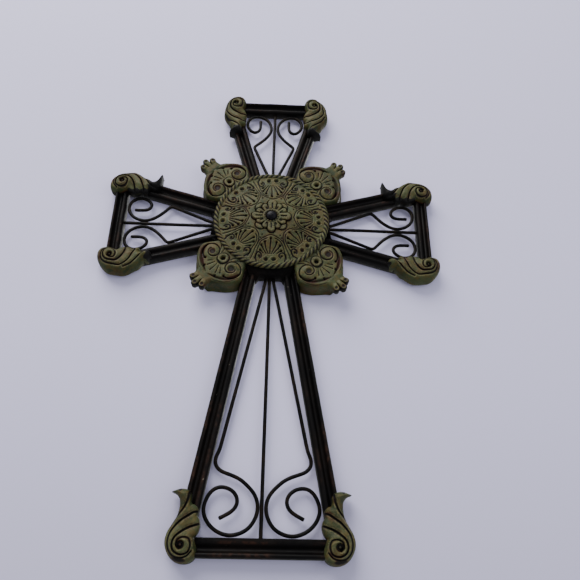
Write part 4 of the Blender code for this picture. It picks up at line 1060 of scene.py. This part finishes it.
def bead(material):
    """Domed bead in the flower, with a small flat shoulder at its foot."""
    sides = 64
    climbs = np.linspace(0.0, 90.0, 22)
    rise = BEAD_TOP - BEAD_FOOT
    radii = [BEAD_RADIUS] + list(BEAD_RADIUS * np.cos(np.radians(climbs[:-1])) ** 0.9)
    lifts = [BEAD_FOOT] + list(BEAD_FOOT + 0.25 * rise + 0.75 * rise * np.sin(np.radians(climbs[:-1])))
    turns = np.arange(sides) * 360.0 / sides
    corners = [np.column_stack([polar(r, turns), np.full(sides, z)]) for r, z in zip(radii, lifts)]
    corners = np.vstack(corners + [np.array([[0.0, 0.0, BEAD_TOP]])])
    faces = bands(len(radii), sides)
    last = (len(radii) - 1) * sides
    faces += [(last + j, last + (j + 1) % sides, len(corners) - 1) for j in range(sides)]
    faces.append(tuple(range(sides))[::-1])
    build("glossy_bead", corners, faces, material, {}, "centre_bead")


# Surroundings, light and camera
def backdrop():
    """Pale surface close behind the cross. It is seen from the front alone, so that the back shows too."""
    mesh = bpy.data.meshes.new("pale_surface")
    size, depth = 4.0, 0.0012
    corners = [(-size, depth, -size), (size, depth, -size), (size, depth, size), (-size, depth, size)]
    mesh.from_pydata(corners, [], [(0, 1, 2, 3)])
    material, tree, shader = shader_tree("pale_surface")
    shader.inputs["Roughness"].default_value = 0.85
    shader.inputs["Specular IOR Level"].default_value = 0.2
    place = add_node(tree, "ShaderNodeTexCoord").outputs["Object"]
    up = add_node(tree, "ShaderNodeSeparateXYZ", Vector=place).outputs["Z"]
    tone = blend(tree, noise(tree, 1.6, 2.0), (0.708, 0.682, 0.940), (0.738, 0.712, 0.970))
    # Painted shade: the surface darkens towards the bottom, as the light falls off.
    tone = blend(tree, stretch(tree, up, -0.08, -0.40, 0.0, 0.25), tone, (0.20, 0.19, 0.24))
    tree.links.new(tone, shader.inputs["Base Color"])
    seen = add_node(tree, "ShaderNodeLightPath").outputs["Is Camera Ray"]
    behind = add_node(tree, "ShaderNodeNewGeometry").outputs["Backfacing"]
    shown = maths(tree, "SUBTRACT", seen, behind)
    clear = add_node(tree, "ShaderNodeBsdfTransparent").outputs["BSDF"]
    mixed = add_node(tree, "ShaderNodeMixShader")
    for socket, value in zip(mixed.inputs, (shown, clear, shader.outputs["BSDF"])):
        tree.links.new(value, socket)
    tree.links.new(mixed.outputs["Shader"], tree.nodes["Material Output"].inputs["Surface"])
    mesh.materials.append(material)
    made = bpy.data.objects.new("pale_surface", mesh)
    bpy.context.scene.collection.objects.link(made)


def area_light(name, place, target, size, power, colour):
    lamp = bpy.data.lights.new(name, "AREA")
    lamp.shape = "DISK"
    lamp.size = size
    lamp.energy = power
    lamp.color = colour
    made = bpy.data.objects.new(name, lamp)
    bpy.context.scene.collection.objects.link(made)
    made.location = place
    made.rotation_euler = (Vector(target) - Vector(place)).to_track_quat("-Z", "Y").to_euler()


def lighting():
    """Soft light of the room all round, and the three lamps."""
    world = bpy.context.scene.world or bpy.data.worlds.new("studio")
    bpy.context.scene.world = world
    world.use_nodes = True
    air = world.node_tree.nodes["Background"]
    air.inputs["Color"].default_value = AIR_COLOUR
    air.inputs["Strength"].default_value = AIR_STRENGTH
    for lamp in LAMPS:
        area_light(*lamp)


def camera():
    """Looks up the cross from near its foot, as fitted to the photograph."""
    lens = bpy.data.cameras.new("camera")
    lens.lens = 36.0
    lens.sensor_width = 36.0
    made = bpy.data.objects.new("camera", lens)
    bpy.context.scene.collection.objects.link(made)
    turn = Matrix.Rotation(math.radians(CAMERA_TURN), 4, "Z")
    tilt = Matrix.Rotation(math.radians(90.0 - CAMERA_TILT), 4, "X")
    roll = Matrix.Rotation(math.radians(CAMERA_ROLL), 4, "Z")
    upright = Matrix.Rotation(math.radians(90.0), 4, "X")
    made.matrix_world = Matrix.Translation(CAMERA_PLACE) @ upright @ (turn @ tilt @ roll)
    bpy.context.scene.camera = made


def main():
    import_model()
    camera()
    lighting()
    backdrop()
    verdigris = verdigris_material()
    paint = frame_material()
    for name, angle, kind in ARMS:
        arm_rails(name, angle, kind, paint)
    hub(paint)
    scrolls(verdigris)
    palmettes(verdigris)
    rosette(verdigris)
    rope(verdigris)
    wires(wire_material())
    bead(bead_material())
    bpy.context.view_layer.update()


main()
